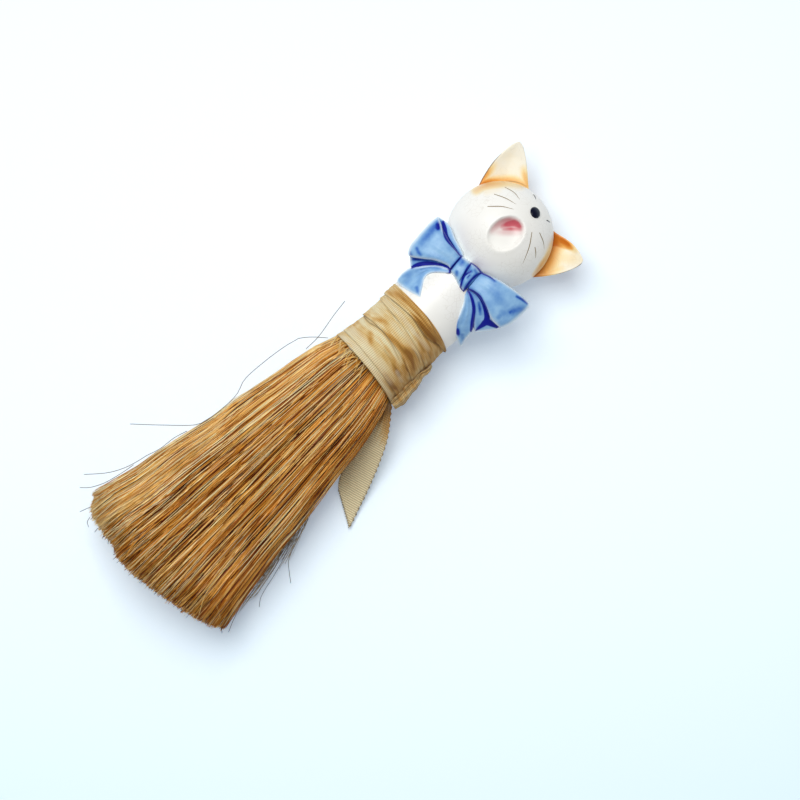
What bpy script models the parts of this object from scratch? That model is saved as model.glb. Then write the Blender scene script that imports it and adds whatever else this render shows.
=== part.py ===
"""Mini whisk broom with a glazed ceramic kitten for a handle.

The broom lies on its back. Y runs from the fibre tips to the kitten's head,
X runs to the kitten's right-hand side of the picture, and Z points up.
"""
import math

import bmesh
import bpy
import numpy as np
from mathutils import Matrix, Vector

MM = 0.001

# Gap that touching pieces keep
CLEARANCE = 0.3 * MM

# Whole broom, along the axis
FIBRE_LENGTH = 98.5 * MM
WRAP_LENGTH = 25.5 * MM
WRAP_TO_HEAD = 35.7 * MM

# Kitten figure: head, neck, chest and the skirt that takes the brush
HEAD_RADIUS = 17.2 * MM
HEAD_FLAT_DEPTH = 0.6 * MM
HEAD_SIDES = 44
BODY_SIDES = 44
CHEST_RADIUS = 12.9 * MM
CHEST_LENGTH = 13.7 * MM
NECK_RADIUS = 10.8 * MM
NECK_TAPER_LENGTH = 8.0 * MM
SKIRT_RADIUS = 11.6 * MM
SOCKET_RADIUS = 9.2 * MM
SOCKET_DEPTH = 16.0 * MM
FOOT_ROUND = 0.6 * MM
FACE_TURN = math.radians(12.5)

# Face relief
MOUTH_HALF_WIDTH = 5.3 * MM
MOUTH_HALF_LENGTH = 6.0 * MM
MOUTH_DEPTH = 3.6 * MM
MOUTH_UP = 1.8 * MM
MOUTH_SIDE = 0.8 * MM
MOUTH_SIDES = 28
NOSE_HALF_WIDTH = 2.2 * MM
NOSE_HALF_LENGTH = 1.6 * MM
NOSE_HEIGHT = 0.9 * MM
NOSE_UP = 13.4 * MM
NOSE_SIDES = 16

# Ears
EAR_BASE_OUT = 16.2 * MM
EAR_BASE_LOW = 1.4 * MM
EAR_BASE_IN = 7.7 * MM
EAR_BASE_HIGH = 15.3 * MM
LEFT_EAR_TIP_OUT = 22.3 * MM
LEFT_EAR_TIP_HIGH = 20.9 * MM
RIGHT_EAR_TIP_OUT = 20.8 * MM
RIGHT_EAR_TIP_HIGH = 18.5 * MM
EAR_THICKNESS = 4.4 * MM
EAR_TIP_THICKNESS = 1.1 * MM
EAR_HOLLOW = 1.6 * MM
EAR_SIDE_BULGE = 0.9 * MM
EAR_LIFT = 1.0 * MM
EAR_START_SHARE = -0.3
EAR_END_SHARE = 0.96
EAR_STATIONS = 9
EAR_ACROSS = 8

# Bow: knot, loops and tails
KNOT_SIDE = 0.7 * MM
KNOT_BELOW_HEAD = 16.4 * MM
KNOT_HALF_WIDTH = 4.0 * MM
KNOT_HALF_LENGTH = 3.5 * MM
KNOT_HALF_HEIGHT = 3.8 * MM
KNOT_HEIGHT = 13.4 * MM
KNOT_SIDES = 24
KNOT_PINCH_SHARE = 0.16
KNOT_SQUARE_SHARE = 0.62
KNOT_FOLD_SHARE = 0.45
KNOT_FOLD_WIDTH_SHARE = 0.16
LOOP_LEFT_LENGTH = 14.8 * MM
LOOP_RIGHT_LENGTH = 18.2 * MM
LOOP_WIDTH = 16.0 * MM
LOOP_THICKNESS = 6.4 * MM
LOOP_INNER_THICKNESS = 5.0 * MM
LOOP_INNER_HEIGHT = 14.4 * MM
LOOP_OUTER_HEIGHT = 10.4 * MM
LOOP_ACROSS = 12
LOOP_CREASE_DEPTH = 0.9 * MM
LOOP_HOLLOW_LENGTH = 5.4 * MM
LOOP_HOLLOW_DEPTH = 5.0 * MM
LOOP_HOLLOW_HEIGHT = 1.5 * MM
HOLLOW_SIDES = 16
TAIL_THICKNESS = 1.8 * MM
TAIL_LENGTH = 12.6 * MM
TAIL_SPREAD = 12.4 * MM
TAIL_STAND_OFF = 2.8 * MM
TAIL_ACROSS = 6
TAIL_SEAT = 0.4 * MM

# Rows of each bow loop: share of its length from the knot, then where its lower and
# upper edges lie, as shares of the loop's width from the middle of the knot
LEFT_ROW_SHARES = (
    (0.0, -0.13, 0.17),
    (0.23, -0.27, 0.19),
    (0.47, -0.44, 0.2),
    (0.67, -0.59, 0.25),
    (0.84, -0.6, 0.35),
    (0.95, -0.46, 0.36),
    (1.0, -0.26, 0.23),
)
RIGHT_ROW_SHARES = (
    (0.0, -0.2, 0.22),
    (0.16, -0.3, 0.28),
    (0.38, -0.44, 0.39),
    (0.6, -0.6, 0.44),
    (0.79, -0.45, 0.48),
    (0.93, -0.23, 0.48),
    (1.0, -0.05, 0.39),
)
CREASE_SHARES = (-0.35, 0.3)
CREASE_WIDTH_SHARE = 0.16

# Edges of each bow tail: two places across, as shares of the tails' spread, and
# two places down from the knot, as shares of their length
LEFT_TAIL_SHARES = (
    (-0.31, -0.08, 0.02, 0.15),
    (-0.55, -0.2, 0.22, 0.37),
    (-0.78, -0.3, 0.42, 0.62),
    (-0.96, -0.34, 0.67, 0.84),
    (-1.0, -0.34, 1.02, 1.0),
)
RIGHT_TAIL_SHARES = (
    (0.22, 0.44, 0.1, 0.06),
    (0.46, 0.72, 0.34, 0.18),
    (0.72, 0.94, 0.62, 0.42),
    (0.95, 1.16, 0.86, 0.66),
    (1.08, 1.3, 1.0, 0.9),
)

# Brush: bound butt of the fibres and the strands that fan out of it
SLICES = 9
LATTICE_ROWS = 6
STRAIGHT_ROWS = 4
ROOT_RADIUS = 11.2 * MM
ROOT_DEPTH = 2.5 * MM
BOUND_LENGTH = 9.0 * MM
WAIST_RADIUS = 9.6 * MM
BUTT_RADIUS = 8.9 * MM
FLARE_LENGTH = 21.0 * MM
FLARE_HALF_WIDTH = 18.2 * MM
FLARE_HALF_THICKNESS = 12.9 * MM
TIP_HALF_WIDTH = 30.4 * MM
TIP_HALF_THICKNESS = 15.2 * MM
TIP_DROP = 1.7 * MM
TIP_BULGE = 6.5 * MM
TIP_UNEVEN = 2.2 * MM
STRAND_ROOT_SHARE = 0.74
STRAND_FLARE_SHARE = 0.62
STRAND_TIP_SHARE = 0.46
STRAND_SEED = 11

# Strands that have sprung out of each side: wedge and root of the strand, how far out
# from the axis it ends, how far from the fibre tips, and at what height to the axis
LEFT_STRAY_ROOT = (2, ((5, 4), (6, 4), (6, 5)))
LEFT_STRAY_REACH = 38.6 * MM
LEFT_STRAY_END = 32.3 * MM
RIGHT_STRAY_ROOT = (7, ((5, 1), (6, 1), (6, 2)))
RIGHT_STRAY_REACH = 33.4 * MM
RIGHT_STRAY_END = 34.2 * MM
STRAY_HEIGHT = -1.0 * MM

# Binding wire round the waist of the brush
WIRE_RADIUS = 0.4 * MM
WIRE_LOOP_COUNT = 4
WIRE_PITCH = 1.3 * MM
WIRE_POINTS = 24

# Glue that holds the butt of the brush in the socket
GLUE_LENGTH = 3.4 * MM
GLUE_SIDES = 32

# Ribbon: wound neck, folded end and loose tail
RIBBON_WIDTH = 10.0 * MM
RIBBON_THICKNESS = 0.3 * MM
WRAP_RADIUS = 13.4 * MM
WRAP_STRIP_WIDTH = 6.5 * MM
WRAP_CLIMB_COUNT = 4
WRAP_POINTS = 24
WRAP_LAYER_STEP = 0.76 * MM
WRAP_GAP_SAMPLES = 7
FOLD_LENGTH = 17.2 * MM
FOLD_HALF_WIDTH = 1.5 * MM
FOLD_HALF_HEIGHT = 2.6 * MM
FOLD_SLOT_DEPTH = 0.8 * MM
FOLD_HEIGHT = 2.2 * MM
FOLD_OVERHANG = 1.1 * MM
FOLD_END_SHARE = 0.72
FOLD_SWELL_SHARE = 1.1
FOLD_STATIONS = 9
FOLD_POINTS = 14
FOLD_SLOT_POINT = 4
LOOSE_NECK_RADIUS = 1.3 * MM
LOOSE_NECK_THICKNESS = 1.2 * MM
LOOSE_THICKNESS = 0.6 * MM
LOOSE_LENGTH = 35.4 * MM
LOOSE_PIVOT_HEIGHT = -1.5 * MM
LOOSE_TIP_ROUND = 0.5 * MM
LOOSE_WIDEN_LENGTH = 13.0 * MM
LOOSE_FALL_LENGTH = 22.0 * MM
LOOSE_SPREAD = 13.1 * MM
LOOSE_CUT_SLANT = 9.2 * MM
LOOSE_STATIONS = 16
LOOSE_ACROSS = 4
LOOSE_FLOOR_GAP = 0.2 * MM

# Places along the axis, from the fibre tips
WRAP_START = FIBRE_LENGTH
WRAP_END = WRAP_START + WRAP_LENGTH
SHOULDER = WRAP_END + CLEARANCE
HEAD_CENTRE = WRAP_END + WRAP_TO_HEAD
KNOT_CENTRE = HEAD_CENTRE - KNOT_BELOW_HEAD
ROOT_PLANE = WRAP_START + ROOT_DEPTH
FOOT = ROOT_PLANE + BOUND_LENGTH
SOCKET_END = FOOT + SOCKET_DEPTH
WIRE_END = FOOT - CLEARANCE - WIRE_RADIUS
WIRE_START = WIRE_END - WIRE_LOOP_COUNT * WIRE_PITCH
AXIS_HEIGHT = HEAD_RADIUS - HEAD_FLAT_DEPTH

SHARP_ANGLE = math.radians(40)
QUARTER_TURN = math.pi / 2
FULL_TURN = 2 * math.pi


def clear_scene():
    """Remove every object that the file holds."""
    for obj in list(bpy.data.objects):
        bpy.data.objects.remove(obj, do_unlink=True)


def make_material(name, colour, roughness, metallic=0.0):
    """Plain Principled material in linear colour."""
    material = bpy.data.materials.new(name)
    material.use_nodes = True
    shader = material.node_tree.nodes["Principled BSDF"]
    shader.inputs["Base Color"].default_value = (*colour, 1.0)
    shader.inputs["Roughness"].default_value = roughness
    shader.inputs["Metallic"].default_value = metallic
    material.diffuse_color = (*colour, 1.0)
    return material


def make_object(name, bm, material, origin=Vector()):
    """Turn a closed bmesh into a named object whose origin is the given point."""
    bmesh.ops.recalc_face_normals(bm, faces=bm.faces)
    bmesh.ops.translate(bm, verts=bm.verts, vec=-origin)
    mesh = bpy.data.meshes.new(name)
    bm.to_mesh(mesh)
    bm.free()
    mesh.shade_smooth()
    mesh.set_sharp_from_angle(angle=SHARP_ANGLE)
    mesh.materials.append(material)
    obj = bpy.data.objects.new(name, mesh)
    obj.location = origin
    bpy.context.scene.collection.objects.link(obj)
    return obj


def use_as_tool(obj):
    """Keep an object as the hidden operand of a Boolean."""
    obj.hide_render = True
    obj.display_type = "WIRE"
    return obj


def combine(obj, tool, operation):
    """Add a Boolean modifier that unites or cuts with the tool."""
    modifier = obj.modifiers.new(operation.lower(), "BOOLEAN")
    modifier.operation = operation
    modifier.object = tool


def bridge(bm, first, second):
    """Join two closed rings of vertices; a ring of one vertex makes a fan."""
    count = max(len(first), len(second))
    for index in range(count):
        follow = (index + 1) % count
        if len(first) == 1:
            bm.faces.new((first[0], second[index], second[follow]))
        elif len(second) == 1:
            bm.faces.new((first[index], second[0], first[follow]))
        else:
            bm.faces.new((first[index], second[index], second[follow], first[follow]))


def loft(bm, sections):
    """Closed skin over rings of points, with a fan to the middle at each end."""
    middles = [sum(sections[end], Vector()) / len(sections[end]) for end in (0, -1)]
    rings = [[bm.verts.new(point) for point in section] for section in sections]
    rings.insert(0, [bm.verts.new(middles[0])])
    rings.append([bm.verts.new(middles[1])])
    for first, second in zip(rings, rings[1:]):
        bridge(bm, first, second)


def turn_profile(bm, profile, sides):
    """Turn (along, radius) pairs round the Y axis; both ends lie on the axis."""
    rings = []
    for along, radius in profile:
        count = sides if radius > 0 else 1
        angles = [FULL_TURN * index / count for index in range(count)]
        rings.append([
            bm.verts.new((radius * math.cos(angle), along, radius * math.sin(angle)))
            for angle in angles
        ])
    for first, second in zip(rings, rings[1:]):
        bridge(bm, first, second)


def ellipsoid(name, centre, half_sizes, sides, material, turn=Matrix.Identity(3)):
    """Ellipsoid that serves as a Boolean tool."""
    bm = bmesh.new()
    bmesh.ops.create_uvsphere(bm, u_segments=sides, v_segments=sides // 2, radius=1.0)
    bmesh.ops.scale(bm, verts=bm.verts, vec=half_sizes)
    bmesh.ops.rotate(bm, verts=bm.verts, cent=Vector(), matrix=turn)
    obj = make_object(name, bm, material)
    obj.location = centre
    return use_as_tool(obj)


def ease(share):
    """Smooth step from 0 to 1."""
    share = min(max(share, 0.0), 1.0)
    return share * share * (3 - 2 * share)


def mix(first, second, share):
    """Value part of the way between two others."""
    return first + (second - first) * share


def body_outline():
    """Outside of the figure from the shoulder to inside the head."""
    chest_end = SHOULDER + CHEST_LENGTH
    neck_start = chest_end + NECK_TAPER_LENGTH
    taper = [
        (mix(chest_end, neck_start, share), mix(CHEST_RADIUS, NECK_RADIUS, ease(share)))
        for share in (0.0, 0.25, 0.5, 0.75, 1.0)
    ]
    return [(SHOULDER, CHEST_RADIUS), *taper, (HEAD_CENTRE - NECK_RADIUS, NECK_RADIUS)]


def body_radius(along):
    """Radius of the chest and neck at a place on the axis."""
    outline = body_outline()
    return float(np.interp(along, [point[0] for point in outline], [point[1] for point in outline]))


def figure_surface(side, along):
    """Height over the axis of the figure's front at a place, or None beside it."""
    ball = HEAD_RADIUS ** 2 - side ** 2 - (along - HEAD_CENTRE) ** 2
    chest = body_radius(along) ** 2 - side ** 2
    tallest = max(ball, chest)
    return math.sqrt(tallest) if tallest > 0 else None


def rest_on_figure(side, along, height):
    """Lift a point that would sink into the figure to its seat on the glaze."""
    surface = figure_surface(side, along)
    if surface is not None:
        height = max(height, surface + TAIL_SEAT)
    return Vector((side, along, height))


def make_figure(glaze):
    """Head and hollow-footed body, with the mouth sunk in and the nose raised."""
    bm = bmesh.new()
    profile = [
        (SOCKET_END, 0.0),
        (SOCKET_END, SOCKET_RADIUS),
        (FOOT + FOOT_ROUND, SOCKET_RADIUS),
        (FOOT, SOCKET_RADIUS + FOOT_ROUND),
        (FOOT, SKIRT_RADIUS - FOOT_ROUND),
        (FOOT + FOOT_ROUND, SKIRT_RADIUS),
        (SHOULDER, SKIRT_RADIUS),
        *body_outline(),
        (HEAD_CENTRE, 0.0),
    ]
    turn_profile(bm, profile, BODY_SIDES)
    figure = make_object("cat_figure", bm, glaze)

    bm = bmesh.new()
    bmesh.ops.create_uvsphere(bm, u_segments=HEAD_SIDES, v_segments=HEAD_SIDES // 2,
                              radius=HEAD_RADIUS)
    cut = bmesh.ops.bisect_plane(bm, geom=bm.verts[:] + bm.edges[:] + bm.faces[:],
                                 plane_co=(0, 0, -AXIS_HEIGHT), plane_no=(0, 0, -1),
                                 clear_outer=True)
    rim = [item for item in cut["geom_cut"] if isinstance(item, bmesh.types.BMEdge)]
    bmesh.ops.contextual_create(bm, geom=rim)
    head = make_object("head_form", bm, glaze)
    head.location = (0, HEAD_CENTRE, 0)
    combine(figure, use_as_tool(head), "UNION")

    face = Matrix.Rotation(-FACE_TURN, 3, "Z")
    mouth_place = face @ Vector((MOUTH_SIDE, MOUTH_UP, HEAD_RADIUS))
    mouth = ellipsoid("mouth_form", mouth_place + Vector((0, HEAD_CENTRE, 0)),
                      (MOUTH_HALF_WIDTH, MOUTH_HALF_LENGTH, MOUTH_DEPTH),
                      MOUTH_SIDES, glaze, face)
    combine(figure, mouth, "DIFFERENCE")

    nose_height = math.sqrt(HEAD_RADIUS ** 2 - NOSE_UP ** 2)
    nose_place = face @ Vector((0, NOSE_UP, nose_height))
    lean = face @ Matrix.Rotation(-math.atan2(NOSE_UP, nose_height), 3, "X")
    nose = ellipsoid("nose_form", nose_place + Vector((0, HEAD_CENTRE, 0)),
                     (NOSE_HALF_WIDTH, NOSE_HALF_LENGTH, NOSE_HEIGHT),
                     NOSE_SIDES, glaze, lean)
    combine(figure, nose, "UNION")
    return figure


def ear_section(share, tip):
    """Ring of an ear at a share of the way from base to tip: hollow front, full back."""
    low = Vector((EAR_BASE_OUT, EAR_BASE_LOW, -EAR_LIFT))
    high = Vector((EAR_BASE_IN, EAR_BASE_HIGH, -EAR_LIFT))
    bulge = EAR_SIDE_BULGE * math.sin(math.pi * max(share, 0.0))
    outward = (low - high).normalized()
    near = low.lerp(tip, share) + outward * bulge
    far = high.lerp(tip, share) - outward * bulge
    thickness = mix(EAR_THICKNESS, EAR_TIP_THICKNESS, max(share, 0.0))
    hollow = EAR_HOLLOW * (1 - ease(share)) * (1 - share)
    front = []
    back = []
    for index in range(EAR_ACROSS + 1):
        across = 2 * index / EAR_ACROSS - 1
        round_share = math.sqrt(max(1 - across ** 2, 0.0))
        place = near.lerp(far, index / EAR_ACROSS)
        dip = hollow * (1 - across ** 2)
        front.append(place + Vector((0, 0, EAR_TIP_THICKNESS * round_share / 2 - dip)))
        back.append(place + Vector((0, 0, -thickness * round_share)))
    return front + back[-2:0:-1]


def make_ear(name, mirror, tip_out, tip_high, glaze, head_room):
    """Triangular ear that is seated on the round of the head."""
    tip = Vector((tip_out, tip_high, EAR_LIFT))
    shares = [mix(EAR_START_SHARE, EAR_END_SHARE, index / (EAR_STATIONS - 1))
              for index in range(EAR_STATIONS)]
    bm = bmesh.new()
    loft(bm, [ear_section(share, tip) for share in shares])
    bmesh.ops.scale(bm, verts=bm.verts, vec=(mirror, 1, 1))
    ear = make_object(name, bm, glaze)
    ear.location = (0, HEAD_CENTRE, 0)
    ear.rotation_euler = (0, 0, -FACE_TURN)
    combine(ear, head_room, "DIFFERENCE")
    return ear


def make_knot(glaze):
    """Rounded knot of the bow, pinched by two folds and seated on the neck."""
    bm = bmesh.new()
    bmesh.ops.create_uvsphere(bm, u_segments=KNOT_SIDES, v_segments=KNOT_SIDES // 2, radius=1.0)
    centre = Vector((KNOT_SIDE, KNOT_CENTRE, KNOT_HEIGHT))
    for vert in bm.verts:
        side, along, height = (math.copysign(abs(value) ** KNOT_SQUARE_SHARE, value)
                               for value in vert.co)
        pinch = 1 - KNOT_PINCH_SHARE * math.cos(math.pi * along) ** 2 * abs(side)
        from_fold = (abs(side) - KNOT_FOLD_SHARE) / KNOT_FOLD_WIDTH_SHARE
        fold = 1 - KNOT_PINCH_SHARE * math.exp(-from_fold ** 2)
        place = Vector((side * KNOT_HALF_WIDTH, along * KNOT_HALF_LENGTH * pinch,
                        height * KNOT_HALF_HEIGHT * fold)) + centre
        vert.co = rest_on_figure(*place) if height < 0 else place
    return make_object("bow_knot", bm, glaze, centre)


def loop_section(direction, length, row):
    """Ring of a bow loop: creased on top, resting on the chest below."""
    share, low_share, high_share = row
    start = KNOT_HALF_WIDTH + CLEARANCE
    side = KNOT_SIDE + direction * (start + length * share)
    low = KNOT_CENTRE + LOOP_WIDTH * low_share
    high = KNOT_CENTRE + LOOP_WIDTH * high_share
    middle = mix(LOOP_INNER_HEIGHT, LOOP_OUTER_HEIGHT, ease(share))
    thickness = mix(LOOP_INNER_THICKNESS, LOOP_THICKNESS, ease(2 * share))
    if share == 1.0:
        thickness = LOOP_INNER_THICKNESS / 2
    top = []
    under = []
    for index in range(LOOP_ACROSS + 1):
        across = 2 * index / LOOP_ACROSS - 1
        along = mix(low, high, index / LOOP_ACROSS)
        half = thickness / 2 * (1 - abs(across) ** 3) ** 0.5
        crease = sum(math.exp(-((across - place) / CREASE_WIDTH_SHARE) ** 2)
                     for place in CREASE_SHARES)
        drop = LOOP_CREASE_DEPTH * crease * (1 - share) * (1 - across ** 2)
        top.append(Vector((side, along, middle + half - drop)))
        under.append(rest_on_figure(side, along, middle - half))
    return top + under[-2:0:-1]


def make_loop(name, direction, length, rows, glaze):
    """One puffed loop of the bow, open along its lower edge near the outer end."""
    bm = bmesh.new()
    loft(bm, [loop_section(direction, length, row) for row in rows])
    centre = Vector((KNOT_SIDE, KNOT_CENTRE, KNOT_HEIGHT))
    loop = make_object(name, bm, glaze, centre)
    mouth_row = rows[3]
    place = Vector((
        KNOT_SIDE + direction * (KNOT_HALF_WIDTH + length * mouth_row[0] + LOOP_HOLLOW_HEIGHT),
        KNOT_CENTRE + LOOP_WIDTH * mouth_row[1],
        mix(LOOP_INNER_HEIGHT, LOOP_OUTER_HEIGHT, ease(mouth_row[0])),
    ))
    hollow = ellipsoid(name + "_hollow", place,
                       (LOOP_HOLLOW_LENGTH, LOOP_HOLLOW_DEPTH, LOOP_HOLLOW_HEIGHT),
                       HOLLOW_SIDES, glaze, Matrix.Rotation(direction * FACE_TURN, 3, "Z"))
    combine(loop, hollow, "DIFFERENCE")
    return loop


def tail_row(row, lift):
    """Ring of a bow tail, bent round the chest at a lift over the glaze."""
    near_side, far_side, near_down, far_down = row
    top_of_tails = KNOT_CENTRE - KNOT_HALF_LENGTH - CLEARANCE
    outer = []
    inner = []
    for index in range(TAIL_ACROSS + 1):
        share = index / TAIL_ACROSS
        side = TAIL_SPREAD * mix(near_side, far_side, share)
        along = top_of_tails - TAIL_LENGTH * mix(near_down, far_down, share)
        seat = body_radius(along) + lift
        angle = math.asin(side / (seat + TAIL_THICKNESS / 2))
        for ring, radius in ((inner, seat), (outer, seat + TAIL_THICKNESS)):
            ring.append(Vector((radius * math.sin(angle), along, radius * math.cos(angle))))
    return outer + inner[::-1]


def make_bow_tail(name, rows, stand_off, glaze):
    """Flat tail of the bow that lies on the chest and may stand off it at its end."""
    sections = []
    for index, row in enumerate(rows):
        share = index / (len(rows) - 1)
        sections.append(tail_row(row, TAIL_SEAT + stand_off * share ** 2))
    bm = bmesh.new()
    loft(bm, sections)
    centre = Vector((KNOT_SIDE, KNOT_CENTRE, KNOT_HEIGHT))
    return make_object(name, bm, glaze, centre)


def make_bow(glaze):
    """The five pressed pieces of the bow."""
    return [
        make_knot(glaze),
        make_loop("bow_loop_left", -1, LOOP_LEFT_LENGTH, LEFT_ROW_SHARES, glaze),
        make_loop("bow_loop_right", 1, LOOP_RIGHT_LENGTH, RIGHT_ROW_SHARES, glaze),
        make_bow_tail("bow_tail_left", LEFT_TAIL_SHARES, 0.0, glaze),
        make_bow_tail("bow_tail_right", RIGHT_TAIL_SHARES, TAIL_STAND_OFF, glaze),
    ]


def fan_at(along, straight):
    """Half width, half thickness and middle height of the brush at a place."""
    places = [0.0, ROOT_PLANE] if straight else [0.0, ROOT_PLANE - FLARE_LENGTH, ROOT_PLANE]
    widths = [TIP_HALF_WIDTH, FLARE_HALF_WIDTH, ROOT_RADIUS]
    depths = [TIP_HALF_THICKNESS, FLARE_HALF_THICKNESS, ROOT_RADIUS]
    drops = [-TIP_DROP, -TIP_DROP * FLARE_LENGTH / ROOT_PLANE, 0.0]
    if straight:
        widths, depths, drops = widths[::2], depths[::2], drops[::2]
    return [float(np.interp(along, places, values)) for values in (widths, depths, drops)]


def slice_lattice(index):
    """Rows of points in one wedge of the unit disc, apex first, set in for the gap."""
    half_angle = math.pi / SLICES
    middle = FULL_TURN * index / SLICES + QUARTER_TURN
    set_in = CLEARANCE / ROOT_RADIUS / 2 / math.sin(half_angle)
    shift = Vector((math.cos(middle), math.sin(middle))) * set_in
    rows = [[shift]]
    for row in range(1, LATTICE_ROWS + 1):
        reach = (1 - set_in) * row / LATTICE_ROWS
        angles = [middle + half_angle * (2 * step / row - 1) for step in range(row + 1)]
        rows.append([Vector((math.cos(angle), math.sin(angle))) * reach + shift
                     for angle in angles])
    return rows


def lattice_cells(rows):
    """Triangles between the rows of a wedge, as (row, column) corners."""
    cells = []
    for row in range(1, len(rows)):
        for column in range(row):
            cells.append(((row - 1, column), (row, column), (row, column + 1)))
            if column < row - 1:
                cells.append(((row - 1, column), (row, column + 1), (row - 1, column + 1)))
    return cells


def strand_ring(corners, along, share, straight):
    """Three corners of a strand at a place, drawn in to a share of its cell."""
    half_width, half_depth, height = fan_at(along, straight)
    places = [Vector((corner.x * half_width, along, corner.y * half_depth + height))
              for corner in corners]
    middle = sum(places, Vector()) / len(places)
    ring = [middle.lerp(place, share) for place in places]
    for point in ring:
        point.z = max(point.z, -AXIS_HEIGHT)
    return ring


def stray_end(index, cell):
    """Where a strand that has sprung out of the side ends, or None for the others."""
    if (index, cell) == LEFT_STRAY_ROOT:
        return Vector((-LEFT_STRAY_REACH, LEFT_STRAY_END, STRAY_HEIGHT))
    if (index, cell) == RIGHT_STRAY_ROOT:
        return Vector((RIGHT_STRAY_REACH, RIGHT_STRAY_END, STRAY_HEIGHT))
    return None


def grow_strand(bm, cell_verts, corners, straight, length_share, stray):
    """Grow one strand out of a triangle of the backing and close its tip."""
    middle = sum(corners, Vector((0.0, 0.0))) / len(corners)
    tip = TIP_BULGE * middle.x ** 2 + TIP_UNEVEN * length_share
    stations = [(ROOT_PLANE, STRAND_ROOT_SHARE)]
    if not straight:
        stations.append((ROOT_PLANE - FLARE_LENGTH, STRAND_FLARE_SHARE))
    stations.append((tip, STRAND_TIP_SHARE))
    sections = [strand_ring(corners, along, share, straight) for along, share in stations]
    if stray is not None:
        end = sum(sections[-1], Vector()) / len(corners)
        sections[-1] = [point + stray - end for point in sections[-1]]
    rings = [cell_verts]
    for section in sections:
        rings.append([bm.verts.new(point) for point in section])
    for first, second in zip(rings, rings[1:]):
        bridge(bm, first, second)
    bm.faces.new(rings[-1])


def backing_edge(rows):
    """Lattice corners round the outside of a wedge, in order."""
    last = len(rows) - 1
    left = [(row, 0) for row in range(last)]
    rim = [(last, column) for column in range(last)]
    right = [(row, row) for row in range(last, 0, -1)]
    return left + rim + right


def make_bristle_slice(index, fibre, length_shares):
    """One wedge of the bound butt with its strands."""
    rows = slice_lattice(index)
    bm = bmesh.new()
    roots = {}
    for row, points in enumerate(rows):
        for column, point in enumerate(points):
            place = (point.x * ROOT_RADIUS, ROOT_PLANE, point.y * ROOT_RADIUS)
            roots[row, column] = bm.verts.new(place)
    for cell in lattice_cells(rows):
        corners = [rows[row][column] for row, column in cell]
        straight = max(row for row, column in cell) <= STRAIGHT_ROWS
        verts = [roots[corner] for corner in cell]
        grow_strand(bm, verts, corners, straight, next(length_shares), stray_end(index, cell))

    edge = backing_edge(rows)
    rings = [[roots[corner] for corner in edge]]
    stations = (
        (WIRE_START - WIRE_RADIUS - CLEARANCE, WAIST_RADIUS),
        (FOOT - CLEARANCE, WAIST_RADIUS),
        (FOOT + FOOT_ROUND, BUTT_RADIUS),
        (SOCKET_END - GLUE_LENGTH - 2 * CLEARANCE, BUTT_RADIUS),
    )
    for along, radius in stations:
        ring = []
        for row, column in edge:
            point = rows[row][column]
            ring.append(bm.verts.new((point.x * radius, along, point.y * radius)))
        rings.append(ring)
    middle = sum((vert.co for vert in rings[-1]), Vector()) / len(edge)
    rings.append([bm.verts.new(middle)])
    for first, second in zip(rings, rings[1:]):
        bridge(bm, first, second)
    return make_object(f"bristles_{index + 1}", bm, fibre)


def make_glue(glue):
    """Plug of glue between the butt of the brush and the end of the socket."""
    end = SOCKET_END - CLEARANCE
    radius = SOCKET_RADIUS - CLEARANCE
    start = end - GLUE_LENGTH
    bm = bmesh.new()
    turn_profile(bm, [(start, 0.0), (start, radius), (end, radius), (end, 0.0)], GLUE_SIDES)
    return make_object("glue_plug", bm, glue)


def least_gap(places, apart):
    """Least distance between stations of a winding that are far apart along it."""
    least = math.inf
    for index in range(len(places) - apart):
        own = places[index][:, None, None, :]
        others = places[index + apart:][None, :, :, :]
        least = min(least, float(np.linalg.norm(others - own, axis=-1).min()))
    return least


def make_wire(steel):
    """Binding wire wound round the waist of the brush in open loops."""
    radius = WAIST_RADIUS + CLEARANCE + WIRE_RADIUS
    total = WIRE_LOOP_COUNT * WIRE_POINTS
    route = []
    for index in range(total + 1):
        angle = FULL_TURN * index / WIRE_POINTS
        along = WIRE_START + WIRE_PITCH * index / WIRE_POINTS
        route.append((radius * math.cos(angle), along, radius * math.sin(angle)))
    curve = bpy.data.curves.new("binding_wire", "CURVE")
    curve.dimensions = "3D"
    curve.bevel_depth = WIRE_RADIUS
    curve.bevel_resolution = 1
    curve.use_fill_caps = True
    spline = curve.splines.new("POLY")
    spline.points.add(total)
    for point, place in zip(spline.points, route):
        point.co = (*place, 1.0)
    curve.materials.append(steel)
    wire = bpy.data.objects.new("binding_wire", curve)
    bpy.context.scene.collection.objects.link(wire)
    gap = least_gap(np.array(route)[:, None, :], WIRE_POINTS // 2) - 2 * WIRE_RADIUS
    print(f"binding_wire: least gap to itself {gap / MM:.2f} mm")
    return wire


def wrap_station(index):
    """Lower edge, its outer radius and the angle of the wound ribbon at one station."""
    turn = index / WRAP_POINTS
    climb = min(max(turn - 1, 0.0), WRAP_CLIMB_COUNT)
    pitch = (WRAP_LENGTH - WRAP_STRIP_WIDTH) / WRAP_CLIMB_COUNT
    layers = min(turn, 1.0) - 1 + max(turn - 1 - WRAP_CLIMB_COUNT, 0.0)
    return WRAP_START + pitch * climb, WRAP_RADIUS + WRAP_LAYER_STEP * layers, FULL_TURN * turn


def wrap_point(index, across, depth):
    """Point of the wound ribbon: share across it, and how deep in its thickness."""
    low, radius, angle = wrap_station(index)
    pitch = (WRAP_LENGTH - WRAP_STRIP_WIDTH) / WRAP_CLIMB_COUNT
    lean = WRAP_LAYER_STEP / pitch
    reach = radius - lean * WRAP_STRIP_WIDTH * across - depth
    along = low + WRAP_STRIP_WIDTH * across
    return Vector((reach * math.cos(angle), along, reach * math.sin(angle)))


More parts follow.
